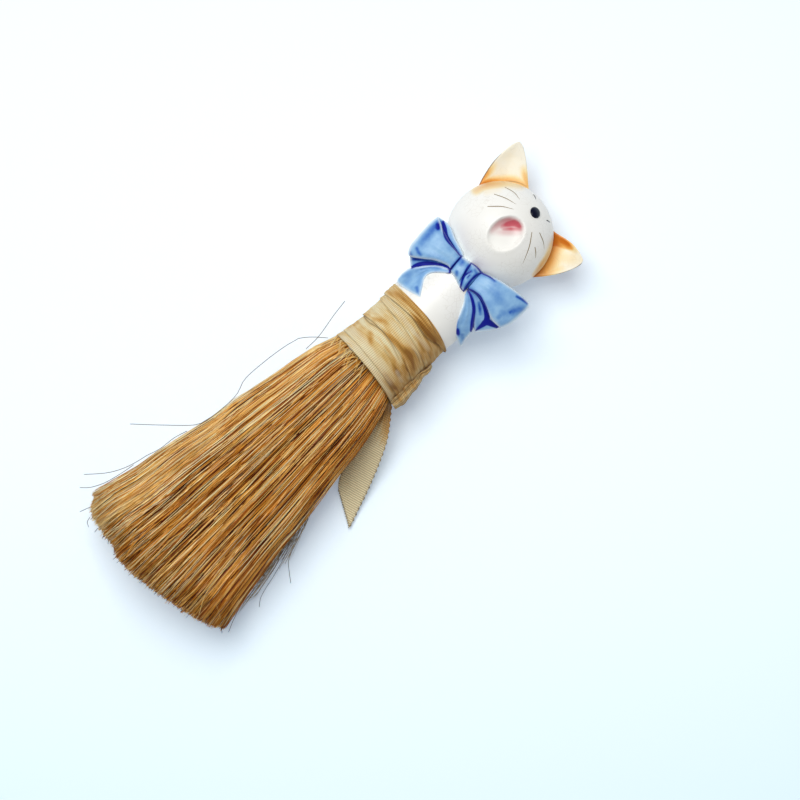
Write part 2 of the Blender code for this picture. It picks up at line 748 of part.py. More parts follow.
def make_wrap(cloth):
    """Ribbon wound round the neck, each turn lapping over the one below it."""
    total = (WRAP_CLIMB_COUNT + 2) * WRAP_POINTS
    corners = ((0.0, 0.0), (1.0, 0.0), (1.0, RIBBON_THICKNESS), (0.0, RIBBON_THICKNESS))
    bm = bmesh.new()
    loft(bm, [[wrap_point(index, across, depth) for across, depth in corners]
              for index in range(total + 1)])
    shares = [step / (WRAP_GAP_SAMPLES - 1) for step in range(WRAP_GAP_SAMPLES)]
    places = np.array([[wrap_point(index, share, depth) for share in shares
                        for depth in (0.0, RIBBON_THICKNESS)]
                       for index in range(total + 1)])
    gap = least_gap(places, WRAP_POINTS // 2)
    print(f"ribbon_wrap: least gap to itself {gap / MM:.2f} mm")
    return make_object("ribbon_wrap", bm, cloth)


def fold_section(share):
    """Ring of the folded ribbon end: a flat roll with a slot where its edges meet."""
    along = WRAP_START - FOLD_OVERHANG + FOLD_LENGTH * share
    swell = mix(FOLD_END_SHARE, 1.0, math.sin(math.pi * min(share * FOLD_SWELL_SHARE, 1.0)))
    side = WRAP_RADIUS + WRAP_LAYER_STEP / 2 + FOLD_HALF_WIDTH
    twist = FACE_TURN * (2 * share - 1)
    ring = []
    for index in range(FOLD_POINTS):
        angle = FULL_TURN * index / FOLD_POINTS
        across = FOLD_HALF_WIDTH * swell * math.cos(angle)
        height = FOLD_HALF_HEIGHT * swell * math.sin(angle)
        if index == FOLD_SLOT_POINT:
            height -= FOLD_SLOT_DEPTH
        ring.append(Vector((side + across * math.cos(twist) - height * math.sin(twist), along,
                            FOLD_HEIGHT + across * math.sin(twist) + height * math.cos(twist))))
    return ring


def make_fold(cloth):
    """Pinched end of the ribbon that lies along the side of the winding."""
    shares = [index / (FOLD_STATIONS - 1) for index in range(FOLD_STATIONS)]
    bm = bmesh.new()
    loft(bm, [fold_section(share) for share in shares])
    return make_object("ribbon_fold", bm, cloth)


def tail_pivot():
    """Pinched neck that the loose tail of the ribbon swings on."""
    side = WRAP_RADIUS + WRAP_LAYER_STEP / 2 + FOLD_HALF_WIDTH
    along = WRAP_START - FOLD_OVERHANG - CLEARANCE - LOOSE_NECK_RADIUS
    return Vector((side, along, LOOSE_PIVOT_HEIGHT))


def loose_section(share):
    """Ring of the loose tail at a share of its length from the pinched neck."""
    reach = mix(-LOOSE_NECK_RADIUS, LOOSE_LENGTH, share)
    flat = ease(reach / LOOSE_WIDEN_LENGTH)
    half_width = mix(LOOSE_NECK_RADIUS, RIBBON_WIDTH / 2, flat)
    if reach < 0:
        half_width = math.sqrt(max(LOOSE_NECK_RADIUS ** 2 - reach ** 2, LOOSE_TIP_ROUND ** 2))
    thickness = mix(LOOSE_NECK_THICKNESS, LOOSE_THICKNESS, flat)
    floor = -AXIS_HEIGHT + LOOSE_FLOOR_GAP + LOOSE_THICKNESS / 2
    pivot = tail_pivot()
    height = mix(pivot.z, floor, ease(reach / LOOSE_FALL_LENGTH))
    bend = LOOSE_SPREAD / LOOSE_LENGTH
    heading = Vector((bend, -math.sqrt(1 - bend ** 2), 0))
    across = Vector((-heading.y, heading.x, 0))
    middle = Vector((pivot.x, pivot.y, height)) + heading * reach
    upper = []
    lower = []
    slant = LOOSE_CUT_SLANT / 2 * max(2 * share - 1, 0.0)
    for index in range(LOOSE_ACROSS + 1):
        place = 2 * index / LOOSE_ACROSS - 1
        point = middle + (across * half_width + heading * slant) * place
        upper.append(point + Vector((0, 0, thickness / 2)))
        lower.append(point - Vector((0, 0, thickness / 2)))
    return upper + lower[::-1]


def make_loose_tail(cloth):
    """Loose end of the ribbon, from its pinched neck down to the table."""
    shares = [index / (LOOSE_STATIONS - 1) for index in range(LOOSE_STATIONS)]
    bm = bmesh.new()
    loft(bm, [loose_section(share) for share in shares])
    return make_object("ribbon_tail", bm, cloth, tail_pivot())


def make_broom():
    """Build every piece and stand the broom on its own middle."""
    glaze = make_material("cream_glaze", (0.9, 0.86, 0.78), 0.12)
    amber = make_material("amber_glaze", (0.76, 0.36, 0.07), 0.14)
    blue = make_material("blue_glaze", (0.28, 0.48, 0.82), 0.12)
    fibre = make_material("golden_fibre", (0.46, 0.24, 0.07), 0.6)
    cloth = make_material("beige_ribbon", (0.56, 0.42, 0.24), 0.85)
    steel = make_material("binding_steel", (0.5, 0.5, 0.5), 0.4, 1.0)
    glue = make_material("hard_glue", (0.7, 0.62, 0.42), 0.5)

    head_room = ellipsoid("head_room", (0, HEAD_CENTRE, 0),
                          (HEAD_RADIUS + TAIL_SEAT,) * 3, HEAD_SIDES, amber)
    pieces = [
        make_figure(glaze),
        make_ear("ear_left", -1, LEFT_EAR_TIP_OUT, LEFT_EAR_TIP_HIGH, amber, head_room),
        make_ear("ear_right", 1, RIGHT_EAR_TIP_OUT, RIGHT_EAR_TIP_HIGH, amber, head_room),
        *make_bow(blue),
        make_glue(glue),
        make_wire(steel),
        make_wrap(cloth),
        make_fold(cloth),
        make_loose_tail(cloth),
    ]
    jitter = np.random.default_rng(STRAND_SEED).uniform(0.0, 1.0, SLICES * LATTICE_ROWS ** 2)
    length_shares = iter(jitter.tolist())
    pieces += [make_bristle_slice(index, fibre, length_shares) for index in range(SLICES)]

    broom = bpy.data.objects.new("mini_broom", None)
    bpy.context.scene.collection.objects.link(broom)
    for piece in pieces:
        piece.parent = broom
    for tool in [obj for obj in bpy.data.objects if obj.hide_render]:
        tool.parent = broom
    bpy.context.view_layer.update()
    corners = []
    depsgraph = bpy.context.evaluated_depsgraph_get()
    for piece in pieces:
        mesh = piece.evaluated_get(depsgraph).to_mesh()
        places = np.array([piece.matrix_world @ vert.co for vert in mesh.vertices])
        corners += [places.min(axis=0), places.max(axis=0)]
        piece.evaluated_get(depsgraph).to_mesh_clear()
    low = np.min(corners, axis=0)
    high = np.max(corners, axis=0)
    broom.location = (-(low[0] + high[0]) / 2, -(low[1] + high[1]) / 2, -low[2])
    bpy.context.view_layer.update()
    print("size in mm:", np.round((high - low) / MM, 2))
    print("axis lies at:", [round(value, 5) for value in broom.location])
    print("tail hinge at:", [round(value, 5) for value in broom.location + tail_pivot()])


clear_scene()
make_broom()
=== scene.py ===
"""Looks of the mini whisk broom: glazed kitten, bow, wound ribbon and fanned fibres."""
import math

import bmesh
import bpy
import numpy as np
from mathutils import Matrix, Vector


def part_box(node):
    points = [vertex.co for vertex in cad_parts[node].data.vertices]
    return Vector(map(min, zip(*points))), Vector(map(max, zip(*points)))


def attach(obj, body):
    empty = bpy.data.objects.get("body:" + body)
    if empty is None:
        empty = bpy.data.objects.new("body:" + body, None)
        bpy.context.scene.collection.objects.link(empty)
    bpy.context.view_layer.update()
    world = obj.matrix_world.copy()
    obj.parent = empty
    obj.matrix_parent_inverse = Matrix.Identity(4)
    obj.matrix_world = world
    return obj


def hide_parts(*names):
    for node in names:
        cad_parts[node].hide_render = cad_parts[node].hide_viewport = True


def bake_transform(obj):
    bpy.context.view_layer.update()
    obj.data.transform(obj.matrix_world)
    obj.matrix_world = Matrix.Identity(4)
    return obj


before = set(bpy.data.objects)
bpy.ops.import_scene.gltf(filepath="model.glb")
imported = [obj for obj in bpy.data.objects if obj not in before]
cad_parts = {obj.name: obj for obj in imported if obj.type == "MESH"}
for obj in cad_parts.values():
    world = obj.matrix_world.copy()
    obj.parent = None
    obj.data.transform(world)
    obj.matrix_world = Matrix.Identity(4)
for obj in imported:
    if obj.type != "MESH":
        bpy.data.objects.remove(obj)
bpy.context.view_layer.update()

MM = 0.001

# The photograph: one pixel on the plane of the broom's axis, the pixel that the
# axis passes at the fibre tips, and how far the axis is turned from the picture
PIXEL = 0.32 * MM
FRAME_PIXELS = 800
AXIS_PIXEL = (161, 562)
AXIS_TURN = math.radians(44)
TIPS_BEFORE_AXIS_PIXEL = 28
CAMERA_DISTANCE = 0.9
CAMERA_ROLL = math.pi / 2 - AXIS_TURN
SENSOR = 36.0

# Places that the frame gives
GLUE_LOW, GLUE_HIGH = (Vector(corner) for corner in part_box("glue_plug"))
WRAP_LOW, WRAP_HIGH = (Vector(corner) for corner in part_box("ribbon_wrap"))
FIGURE_LOW, FIGURE_HIGH = (Vector(corner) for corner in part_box("cat_figure"))
AXIS = (GLUE_LOW + GLUE_HIGH) / 2
WRAP_START = WRAP_LOW.y
WRAP_END = WRAP_HIGH.y
FIBRE_LENGTH = 98.5 * MM
TIPS = WRAP_START - FIBRE_LENGTH
HEAD_RADIUS = (FIGURE_HIGH.x - FIGURE_LOW.x) / 2
HEAD_CENTRE = Vector((AXIS.x, FIGURE_HIGH.y - HEAD_RADIUS, AXIS.z))
SHOULDER = WRAP_END - 3.4 * MM
CHEST_RADIUS = 13.4 * MM
CHEST_SHRINK = 0.5 * MM
LEAN_RIGHT = 1.3 * MM
CHEST_END = WRAP_END + 14.0 * MM
NECK_RADIUS = 10.8 * MM
NECK_START = CHEST_END + 8.0 * MM
SKIRT_RADIUS = 11.6 * MM
FOOT = WRAP_END - 14.0 * MM

FULL_TURN = 2 * math.pi
UP = Vector((0, 0, 1))


def along_and_across(x, y):
    """Distances along and across the axis, in pixels, of a pixel of the photograph."""
    right, down = x - AXIS_PIXEL[0], y - AXIS_PIXEL[1]
    along = right * math.cos(AXIS_TURN) - down * math.sin(AXIS_TURN)
    across = right * math.sin(AXIS_TURN) + down * math.cos(AXIS_TURN)
    return along, across


def on_axis_plane(x, y):
    """World X and Y of a pixel on the plane of the axis."""
    along, across = along_and_across(x, y)
    return AXIS.x + across * PIXEL, TIPS + (along + TIPS_BEFORE_AXIS_PIXEL) * PIXEL


CAMERA_X, CAMERA_Y = on_axis_plane(FRAME_PIXELS / 2, FRAME_PIXELS / 2)


def seen_at(pixel, height):
    """World point that the camera sees at a pixel, at a height over the table."""
    x, y = on_axis_plane(*pixel)
    nearer = 1 - (height - AXIS.z) / CAMERA_DISTANCE
    return Vector((CAMERA_X + (x - CAMERA_X) * nearer, CAMERA_Y + (y - CAMERA_Y) * nearer, height))


def to_pixels(points):
    """Pixels of the photograph where an array of world points is seen."""
    nearer = 1 - (points[:, 2] - AXIS.z) / CAMERA_DISTANCE
    across = (CAMERA_X + (points[:, 0] - CAMERA_X) / nearer - AXIS.x) / PIXEL
    along = (CAMERA_Y + (points[:, 1] - CAMERA_Y) / nearer - TIPS) / PIXEL - TIPS_BEFORE_AXIS_PIXEL
    cos, sin = math.cos(AXIS_TURN), math.sin(AXIS_TURN)
    x = AXIS_PIXEL[0] + along * cos + across * sin
    y = AXIS_PIXEL[1] - along * sin + across * cos
    return np.stack([x, y], axis=1)


def ease(share):
    """Smooth step from 0 to 1, for a number or an array."""
    share = np.clip(share, 0.0, 1.0)
    return share * share * (3 - 2 * share)


def mix(first, second, share):
    """Value part of the way between two others."""
    return first + (second - first) * share


def hump(value, place, width):
    """Bell that is 1 where a number or an array is at its place."""
    return np.exp(-((value - place) / width) ** 2)


def through(points, position):
    """Place on a smooth curve through rows of numbers, at a position counted in rows."""
    points = np.asarray(points, dtype=float)
    padded = np.vstack([2 * points[0] - points[1], points, 2 * points[-1] - points[-2]])
    index = min(max(int(position), 0), len(points) - 2)
    step = position - index
    before, start, end, after = padded[index:index + 4]
    return 0.5 * (2 * start + (end - before) * step
                  + (2 * before - 5 * start + 4 * end - after) * step ** 2
                  + (3 * start - before - 3 * end + after) * step ** 3)


STEPS_BETWEEN_POINTS = 24


def curve_through(points, count):
    """Evenly spaced places on a smooth curve through a few points (rows of an array)."""
    spans = len(points) - 1
    positions = np.linspace(0, spans, STEPS_BETWEEN_POINTS * spans + 1)
    fine = np.array([through(points, position) for position in positions])
    lengths = np.concatenate([[0], np.cumsum(np.linalg.norm(np.diff(fine, axis=0), axis=1))])
    wanted = np.linspace(0, lengths[-1], count)
    return np.stack([np.interp(wanted, lengths, fine[:, axis]) for axis in range(fine.shape[1])], axis=1)


def distance_to_line(places, line):
    """Distance of 2-D places to a polyline, and how far along it the nearest point is."""
    best = np.full(len(places), 1e9)
    share = np.zeros(len(places))
    count = len(line) - 1
    for index in range(count):
        start, end = line[index], line[index + 1]
        step = end - start
        along = np.clip(((places - start) @ step) / max(step @ step, 1e-12), 0, 1)
        gap = np.linalg.norm(places - (start + along[:, None] * step), axis=1)
        closer = gap < best
        best[closer] = gap[closer]
        share[closer] = ((index + along) / count)[closer]
    return best, share


STROKE_POINTS = 24


def stroke_masks(places, strokes, mask_of):
    """Strongest of several strokes at 2-D places: each has pixels first and shares along it last."""
    mask = np.zeros(len(places))
    for pixels, *size, shares in strokes:
        gap, along = distance_to_line(places, curve_through(pixels, STROKE_POINTS))
        value = np.interp(along, np.linspace(0, 1, len(shares)), shares)
        mask = np.maximum(mask, mask_of(gap, value, *size))
    return mask


def ink_mask(places, strokes, soft=0.9):
    """How much of a drawn line covers each 2-D place: strokes are (pixels, widths)."""
    return stroke_masks(places, strokes, lambda gap, width: 1 - ease((gap - width / 2) / soft + 0.5))


def spray_mask(places, strokes):
    """Soft sprayed colour at 2-D places: strokes are (pixels, radius, strengths)."""
    return stroke_masks(places, strokes, lambda gap, strength, radius: strength * (1 - ease(gap / radius)))


def put(name, data):
    """New object in the scene for a mesh, a curve, a lamp or a camera."""
    obj = bpy.data.objects.new(name, data)
    bpy.context.scene.collection.objects.link(obj)
    return obj


def put_smooth(mesh, material):
    """New object for a mesh with smooth faces of one material."""
    mesh.polygons.foreach_set("use_smooth", [True] * len(mesh.polygons))
    mesh.materials.clear()
    mesh.materials.append(material)
    return put(mesh.name, mesh)


def put_line(name, points, radius, sides, material):
    """New object for a thin round line through points."""
    curve = bpy.data.curves.new(name, "CURVE")
    curve.dimensions = "3D"
    curve.bevel_depth = radius
    curve.bevel_resolution = sides
    spline = curve.splines.new("POLY")
    spline.points.add(len(points) - 1)
    for target, point in zip(spline.points, points):
        target.co = (*point, 1.0)
    curve.materials.append(material)
    return put(name, curve)


def fit(piece, node=None):
    """Let a piece ride on the broom, with the solid that it stands for."""
    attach(piece, "broom")
    if node:
        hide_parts(node)


def mesh_of(name, bm):
    """New mesh out of a mesh under construction."""
    mesh = bpy.data.meshes.new(name)
    bm.to_mesh(mesh)
    bm.free()
    return mesh


def set_mask(obj, name, values):
    """Store one number per vertex for a material to read."""
    attribute = obj.data.attributes.new(name, "FLOAT", "POINT")
    attribute.data.foreach_set("value", np.asarray(values, dtype=np.float32))


def set_uv(obj, uvs):
    """Give every corner the UV of its vertex."""
    layer = obj.data.uv_layers.new(name="UVMap")
    corners = np.empty(len(obj.data.loops), dtype=np.int32)
    obj.data.loops.foreach_get("vertex_index", corners)
    layer.data.foreach_set("uv", np.asarray(uvs)[corners].ravel())


def vertex_array(obj):
    """Vertices of an object as an array."""
    places = np.empty(len(obj.data.vertices) * 3)
    obj.data.vertices.foreach_get("co", places)
    return places.reshape(-1, 3)


def slab(name, rows, columns, place, material):
    """Closed piece between two grids that are joined round their rims.

    The function place gives the top, the bottom and further values at a row and a
    column. The further values are returned with the piece, once for each of its sides."""
    cells = [place(row, column) for row in range(rows) for column in range(columns)]
    top, bottom, *values = (np.array([np.array(value) for value in field]) for field in zip(*cells))
    offset = rows * columns
    quads = [(row * columns + column, row * columns + column + 1,
              (row + 1) * columns + column + 1, (row + 1) * columns + column)
             for row in range(rows - 1) for column in range(columns - 1)]
    faces = quads + [tuple(offset + index for index in face[::-1]) for face in quads]
    rim = ([(0, column) for column in range(columns - 1)]
           + [(row, columns - 1) for row in range(rows - 1)]
           + [(rows - 1, column) for column in range(columns - 1, 0, -1)]
           + [(row, 0) for row in range(rows - 1, 0, -1)])
    numbers = [row * columns + column for row, column in rim]
    faces += [(first, first + offset, second + offset, second)
              for first, second in zip(numbers, numbers[1:] + numbers[:1])]
    mesh = bpy.data.meshes.new(name)
    mesh.from_pydata([tuple(vertex) for vertex in np.vstack([top, bottom])], [], faces)
    mesh.validate()
    bm = bmesh.new()
    bm.from_mesh(mesh)
    bmesh.ops.recalc_face_normals(bm, faces=bm.faces)
    bm.to_mesh(mesh)
    bm.free()
    return put_smooth(mesh, material), [np.concatenate([value, value]) for value in values]


# Materials

class Nodes:
    """Short way to build a node material."""

    def __init__(self, name):
        self.material = bpy.data.materials.new(name)
        self.material.use_nodes = True
        self.tree = self.material.node_tree
        self.shader = self.tree.nodes["Principled BSDF"]

    def add(self, kind, settings=(), **inputs):
        """Add a node, set its properties and sockets, and link given sockets."""
        node = self.tree.nodes.new(kind)
        for key, value in dict(settings).items():
            setattr(node, key, value)
        for key, value in inputs.items():
            self.plug(node, key.replace("_", " "), value)
        return node

    def plug(self, node, socket, value):
        """Link an output to a socket, or set the socket to a value or a colour."""
        target = node.inputs[socket]
        if isinstance(value, bpy.types.NodeSocket):
            self.tree.links.new(value, target)
        elif target.type == "RGBA":
            target.default_value = (*value, 1.0)
        else:
            target.default_value = value

    def finish(self, tone, **sockets):
        """Give the shader its colour and its other sockets, and hand the material out."""
        self.plug(self.shader, "Base Color", tone)
        for key, value in sockets.items():
            self.plug(self.shader, key.replace("_", " "), value)
        return self.material

    def mask(self, name):
        """Output of a stored vertex number."""
        return self.add("ShaderNodeAttribute", {"attribute_name": name}).outputs["Fac"]

    def place(self):
        """Coordinates in the object's own metres."""
        return self.add("ShaderNodeTexCoord").outputs["Object"]

    def noise(self, scale, detail=3.0, roughness=0.55, vector=None, stretch=None):
        """Noise with a size per metre, stretched if asked."""
        vector = vector or self.place()
        if stretch:
            vector = self.add("ShaderNodeMapping", Vector=vector, Scale=stretch).outputs["Vector"]
        return self.add("ShaderNodeTexNoise", Vector=vector, Scale=scale, Detail=detail,
                        Roughness=roughness).outputs["Fac"]

    def ramp(self, factor, stops):
        """Colour ramp over (position, colour) stops."""
        node = self.add("ShaderNodeValToRGB", Fac=factor)
        elements = node.color_ramp.elements
        while len(elements) < len(stops):
            elements.new(0.5)
        for element, (position, colour) in zip(elements, stops):
            element.position = position
            element.color = (*colour, 1.0)
        return node.outputs["Color"]

    def blend(self, factor, first, second):
        """Mix two colours by a factor."""
        node = self.add("ShaderNodeMix", {"data_type": "RGBA"}, Factor=factor)
        self.plug(node, 6, first)
        self.plug(node, 7, second)
        return node.outputs[2]

    def sum(self, operation, *values):
        """Math node on up to three values."""
        node = self.add("ShaderNodeMath", {"operation": operation})
        for index, value in enumerate(values):
            self.plug(node, index, value)
        return node.outputs[0]

    def vary(self, value, noise, amount):
        """A value that a noise moves up and down."""
        return self.sum("MULTIPLY_ADD", self.sum("SUBTRACT", noise, 0.5), amount, value)

    def bump(self, height, strength, distance):
        """Bump from a height in metres."""
        return self.add("ShaderNodeBump", Height=height, Strength=strength,
                        Distance=distance).outputs["Normal"]


def linear(red, green, blue):
    """Linear colour of an sRGB colour from 0 to 255."""
    return tuple((value / 255) ** 2.2 for value in (red, green, blue))


WHITE_GLAZE = linear(250, 250, 248)
# Pink glaze, darkened in part as painted shade for the mouth's upper wall
PINK_GLAZE = linear(196, 86, 98)
BLUE_INK = linear(0, 22, 146)
CRACK_SCALE = 620.0
CRACK_WIDTH = 0.03


def glaze_finish(nodes, crazing, roughness, coat):
    """Glossy glaze with a slightly uneven surface, and the mask of its fine crazing."""
    cells = nodes.add("ShaderNodeTexVoronoi", {"feature": "DISTANCE_TO_EDGE"},
                      Vector=nodes.place(), Scale=CRACK_SCALE, Randomness=1.0)
    crack = nodes.sum("LESS_THAN", cells.outputs["Distance"], CRACK_WIDTH)
    patch = nodes.sum("GREATER_THAN", nodes.noise(110.0), 0.5)
    crack = nodes.sum("MULTIPLY", nodes.sum("MULTIPLY", crack, patch), crazing)
    nodes.plug(nodes.shader, "Normal", nodes.bump(nodes.noise(160.0, 2.0), 0.12, 0.6 * MM))
    nodes.plug(nodes.shader, "Roughness", roughness)
    nodes.plug(nodes.shader, "Coat Weight", coat)
    nodes.plug(nodes.shader, "Coat Roughness", 0.3)
    return crack


def figure_material():
    """White glaze with amber sprayed at the ears and a pink mouth."""
    nodes = Nodes("kitten_glaze")
    crack = glaze_finish(nodes, 0.12, 0.4, 0.12)
    tone = nodes.blend(nodes.noise(70.0), WHITE_GLAZE, linear(244, 243, 236))
    amber = nodes.mask("amber")
    tone = nodes.blend(nodes.sum("MULTIPLY", amber, 2.2), tone, linear(249, 232, 184))
    tone = nodes.blend(nodes.sum("POWER", amber, 1.7), tone, linear(230, 162, 68))
    # Pink of the mouth, partly pink glaze, partly painted shade on its upper wall
    tone = nodes.blend(nodes.mask("pink"), tone, PINK_GLAZE)
    return nodes.finish(nodes.blend(crack, tone, linear(150, 132, 104)))


def ear_material():
    """Cream glaze that turns amber and deep amber where the masks say."""
    nodes = Nodes("ear_glaze")
    crack = glaze_finish(nodes, 0.08, 0.38, 0.1)
    amber = nodes.vary(nodes.mask("amber"), nodes.noise(180.0), 0.22)
    tone = nodes.ramp(amber, [(0.0, linear(249, 245, 229)), (0.3, linear(246, 222, 164)),
                              (0.62, linear(238, 172, 84)), (1.0, linear(206, 110, 10))])
    tone = nodes.blend(crack, tone, linear(150, 120, 80))
    # Dark lines along the ear's edges and base: partly brown paint, partly painted shade
    return nodes.finish(nodes.blend(nodes.mask("line"), tone, linear(92, 58, 30)))


def bow_material():
    """Pale blue glaze, streaked, pooled dark in the creases and thin on the edges, with painted shade
    beside the creases and a painted highlight on the rims.
    """
    nodes = Nodes("bow_glaze")
    glaze_finish(nodes, 0.0, 0.34, 0.07)
    depth = nodes.vary(nodes.mask("depth"), nodes.noise(170.0, 4.0, 0.6), 0.7)
    depth = nodes.vary(depth, nodes.noise(420.0, 3.0, 0.6, stretch=(1.0, 0.4, 1.0)), 0.3)
    tone = nodes.ramp(depth, [(0.0, linear(188, 220, 244)), (0.35, linear(144, 189, 230)),
                              (0.6, linear(106, 154, 211)), (0.85, linear(56, 104, 190)),
                              (1.0, linear(20, 54, 158))])
    # Pale rim: partly thin glaze on the edges, partly painted highlight
    rim = nodes.sum("MULTIPLY", nodes.mask("rim"), nodes.sum("ADD", nodes.noise(240.0), 0.4))
    tone = nodes.blend(rim, tone, linear(222, 239, 252))
    return nodes.finish(nodes.blend(nodes.mask("ink"), tone, BLUE_INK), Specular_IOR_Level=0.22)


def plain_gloss(name, colour, roughness):
    """Small glossy piece with a faint uneven glaze."""
    nodes = Nodes(name)
    tone = nodes.blend(nodes.noise(900.0), colour, tuple(value * 1.3 for value in colour))
    return nodes.finish(tone, Roughness=roughness, Coat_Weight=0.05, Specular_IOR_Level=0.18)


def fibre_material():
    """Golden plant fibre: each strand has its own tone, with darker and paler lengths."""
    nodes = Nodes("golden_fibre")
    shade = nodes.noise(170.0, 3.0, 0.6, stretch=(7.0, 0.6, 7.0))
    # The dark end of the ramp is partly painted shade between strands, the pale end partly painted
    # highlight
    tone = nodes.ramp(nodes.vary(nodes.mask("tint"), shade, 0.4), [
        (0.0, linear(62, 14, 0)), (0.2, linear(156, 80, 6)), (0.5, linear(226, 153, 56)),
        (0.76, linear(252, 206, 118)), (1.0, linear(255, 242, 192))])
    tone = nodes.blend(nodes.mask("warm"), tone, linear(180, 98, 76))
    return nodes.finish(tone, Roughness=0.5, Specular_IOR_Level=0.12)


def shaded_fibre_material():
    """Painted shade: fibre coloured grey-brown, as it looks in the shade."""
    nodes = Nodes("shaded_fibre")
    tone = nodes.blend(nodes.mask("tint"), linear(104, 84, 56), linear(206, 184, 140))
    return nodes.finish(tone, Roughness=0.6)


def hair_material():
    """Grey-brown stray hair."""
    nodes = Nodes("stray_hair")
    tone = nodes.blend(nodes.noise(300.0), linear(110, 104, 96), linear(70, 62, 54))
    return nodes.finish(tone, Roughness=0.5)


# Dark brown of grime on the ribbon, and of the painted shade between its ribs
RIBBON_GRIME_AND_SHADE = linear(122, 88, 42)
# A band of the wave texture is this long at a scale of 1
WAVE_LENGTH = 0.314
RIB_SPACING = 0.68 * MM
THREAD_SPACING = 0.35 * MM


def cloth_material():
    """Grosgrain ribbon: fine ribs across its width, with brown blotches of age, and painted shade between
    the ribs.
    """
    nodes = Nodes("aged_ribbon")
    uv = nodes.add("ShaderNodeUVMap").outputs["UV"]
    rib, thread = (nodes.add("ShaderNodeTexWave", {"wave_type": "BANDS", "bands_direction": way},
                             Vector=uv, Scale=WAVE_LENGTH / spacing, Distortion=wander,
                             Detail=1.0).outputs["Fac"]
                   for way, spacing, wander in (("X", RIB_SPACING, 0.5), ("Y", THREAD_SPACING, 0.4)))
    weave = nodes.sum("MULTIPLY_ADD", thread, 0.12, rib)
    stain = nodes.vary(nodes.mask("stain"), nodes.noise(1.0, 4.0, 0.6, uv, (90.0, 340.0, 1.0)), 1.5)
    stain = nodes.vary(stain, nodes.noise(1.0, 3.0, 0.6, uv, (140.0, 1100.0, 1.0)), 0.9)
    tone = nodes.ramp(stain, [(0.0, linear(255, 244, 200)), (0.3, linear(244, 214, 150)),
                              (0.62, linear(220, 166, 84)), (1.0, linear(152, 98, 18))])
    tone = nodes.blend(nodes.mask("bleach"), tone, linear(246, 234, 200))
    tone = nodes.blend(nodes.sum("MULTIPLY", nodes.noise(420.0, 4.0, 0.7), 0.12), tone, RIBBON_GRIME_AND_SHADE)
    # Painted shade in the gaps between the ribs
    gap = nodes.sum("POWER", nodes.sum("SUBTRACT", 1.0, rib), 1.5)
    tone = nodes.blend(nodes.sum("MULTIPLY", gap, 0.5), tone, RIBBON_GRIME_AND_SHADE)
    tone = nodes.blend(nodes.mask("shade"), tone, linear(70, 42, 14))
    return nodes.finish(tone, Normal=nodes.bump(weave, 0.8, 0.2 * MM), Roughness=0.85, Sheen_Weight=0.1)


# Kitten figure

MOUTH_PIXELS = (506.0, 233.5)
MOUTH_HALF_LONG = 6.4 * MM
MOUTH_HALF_WIDE = 5.1 * MM
MOUTH_TURN = math.radians(-37)
MOUTH_DEPTH = 3.3 * MM
MOUTH_STEEP_SIDE = (0.35, -0.94)
LIP_HEIGHT = 0.1 * MM
# Sprayed colour on the head: pixels of each stroke, its radius and its strengths
# Pink of the mouth, strongest and dusky on its upper wall: partly pink glaze, partly painted shade where
# that wall is turned from the light
PINK_SPRAY = (
    (((503, 224), (510, 222), (517, 221.8), (522, 225)), 8, (0.8, 1.25, 1.4, 1.1)),
    (((505, 227.8), (513, 227.4), (521.5, 227.8)), 6.5, (0.7, 1, 0.85)),
    (((491.5, 229), (497, 224), (503.5, 219.8), (511, 217.6)), 8, (0.4, 0.6, 0.72, 0.82)),
    (((496, 231), (505, 231.6), (514, 231.6), (521, 230.8)), 7, (0.22, 0.42, 0.42, 0.3)),
)
AMBER_SPRAY = (
    (((476, 190), (484, 185.6), (495, 183.6), (507, 182.8), (521, 185)), 8, (0.65, 0.95, 0.8, 0.5, 0.35)),
    (((486, 191), (498, 189)), 7, (0.2, 0.14)),
    (((553, 240), (547.5, 255), (541, 265), (534.5, 275)), 4, (0.2, 0.6, 0.95, 0.8)),
)
CROWN_AMBER = 0.85
NOSE_PIXELS = (535.2, 212.6)
NOSE_HALF_SIZES = (1.85 * MM, 2.15 * MM, 0.8 * MM)
NOSE_TURN = math.radians(14)
WHISKER_PIXELS = (
    ((504.8, 187), (514.5, 192.8), (520.5, 200.5)),
    ((494, 194), (505.9, 198.3), (517.3, 204.8)),
    ((487.5, 206.4), (501.5, 206.4), (510.2, 208.3), (515.6, 209.7)),
    ((532, 231.9), (529.2, 247), (522.2, 265.5)),
    ((535, 247), (535.8, 253), (535.6, 259)),
    ((539.5, 232.5), (543.3, 241.7), (544.4, 250.3)),
)
EYE_PIXELS = (((533.4, 194.5), (535.2, 197), (536, 199.8)), ((546.4, 220.2), (549, 221.4), (550.6, 223.4)))
WHISKER_RADIUS = 0.17 * MM
EYE_RADIUS = 0.24 * MM
SINK_OF_LINE = 0.55
FIGURE_SIDES = 128
SKIN_VOXEL = 0.32 * MM
SMALL_GAP = 0.02 * MM
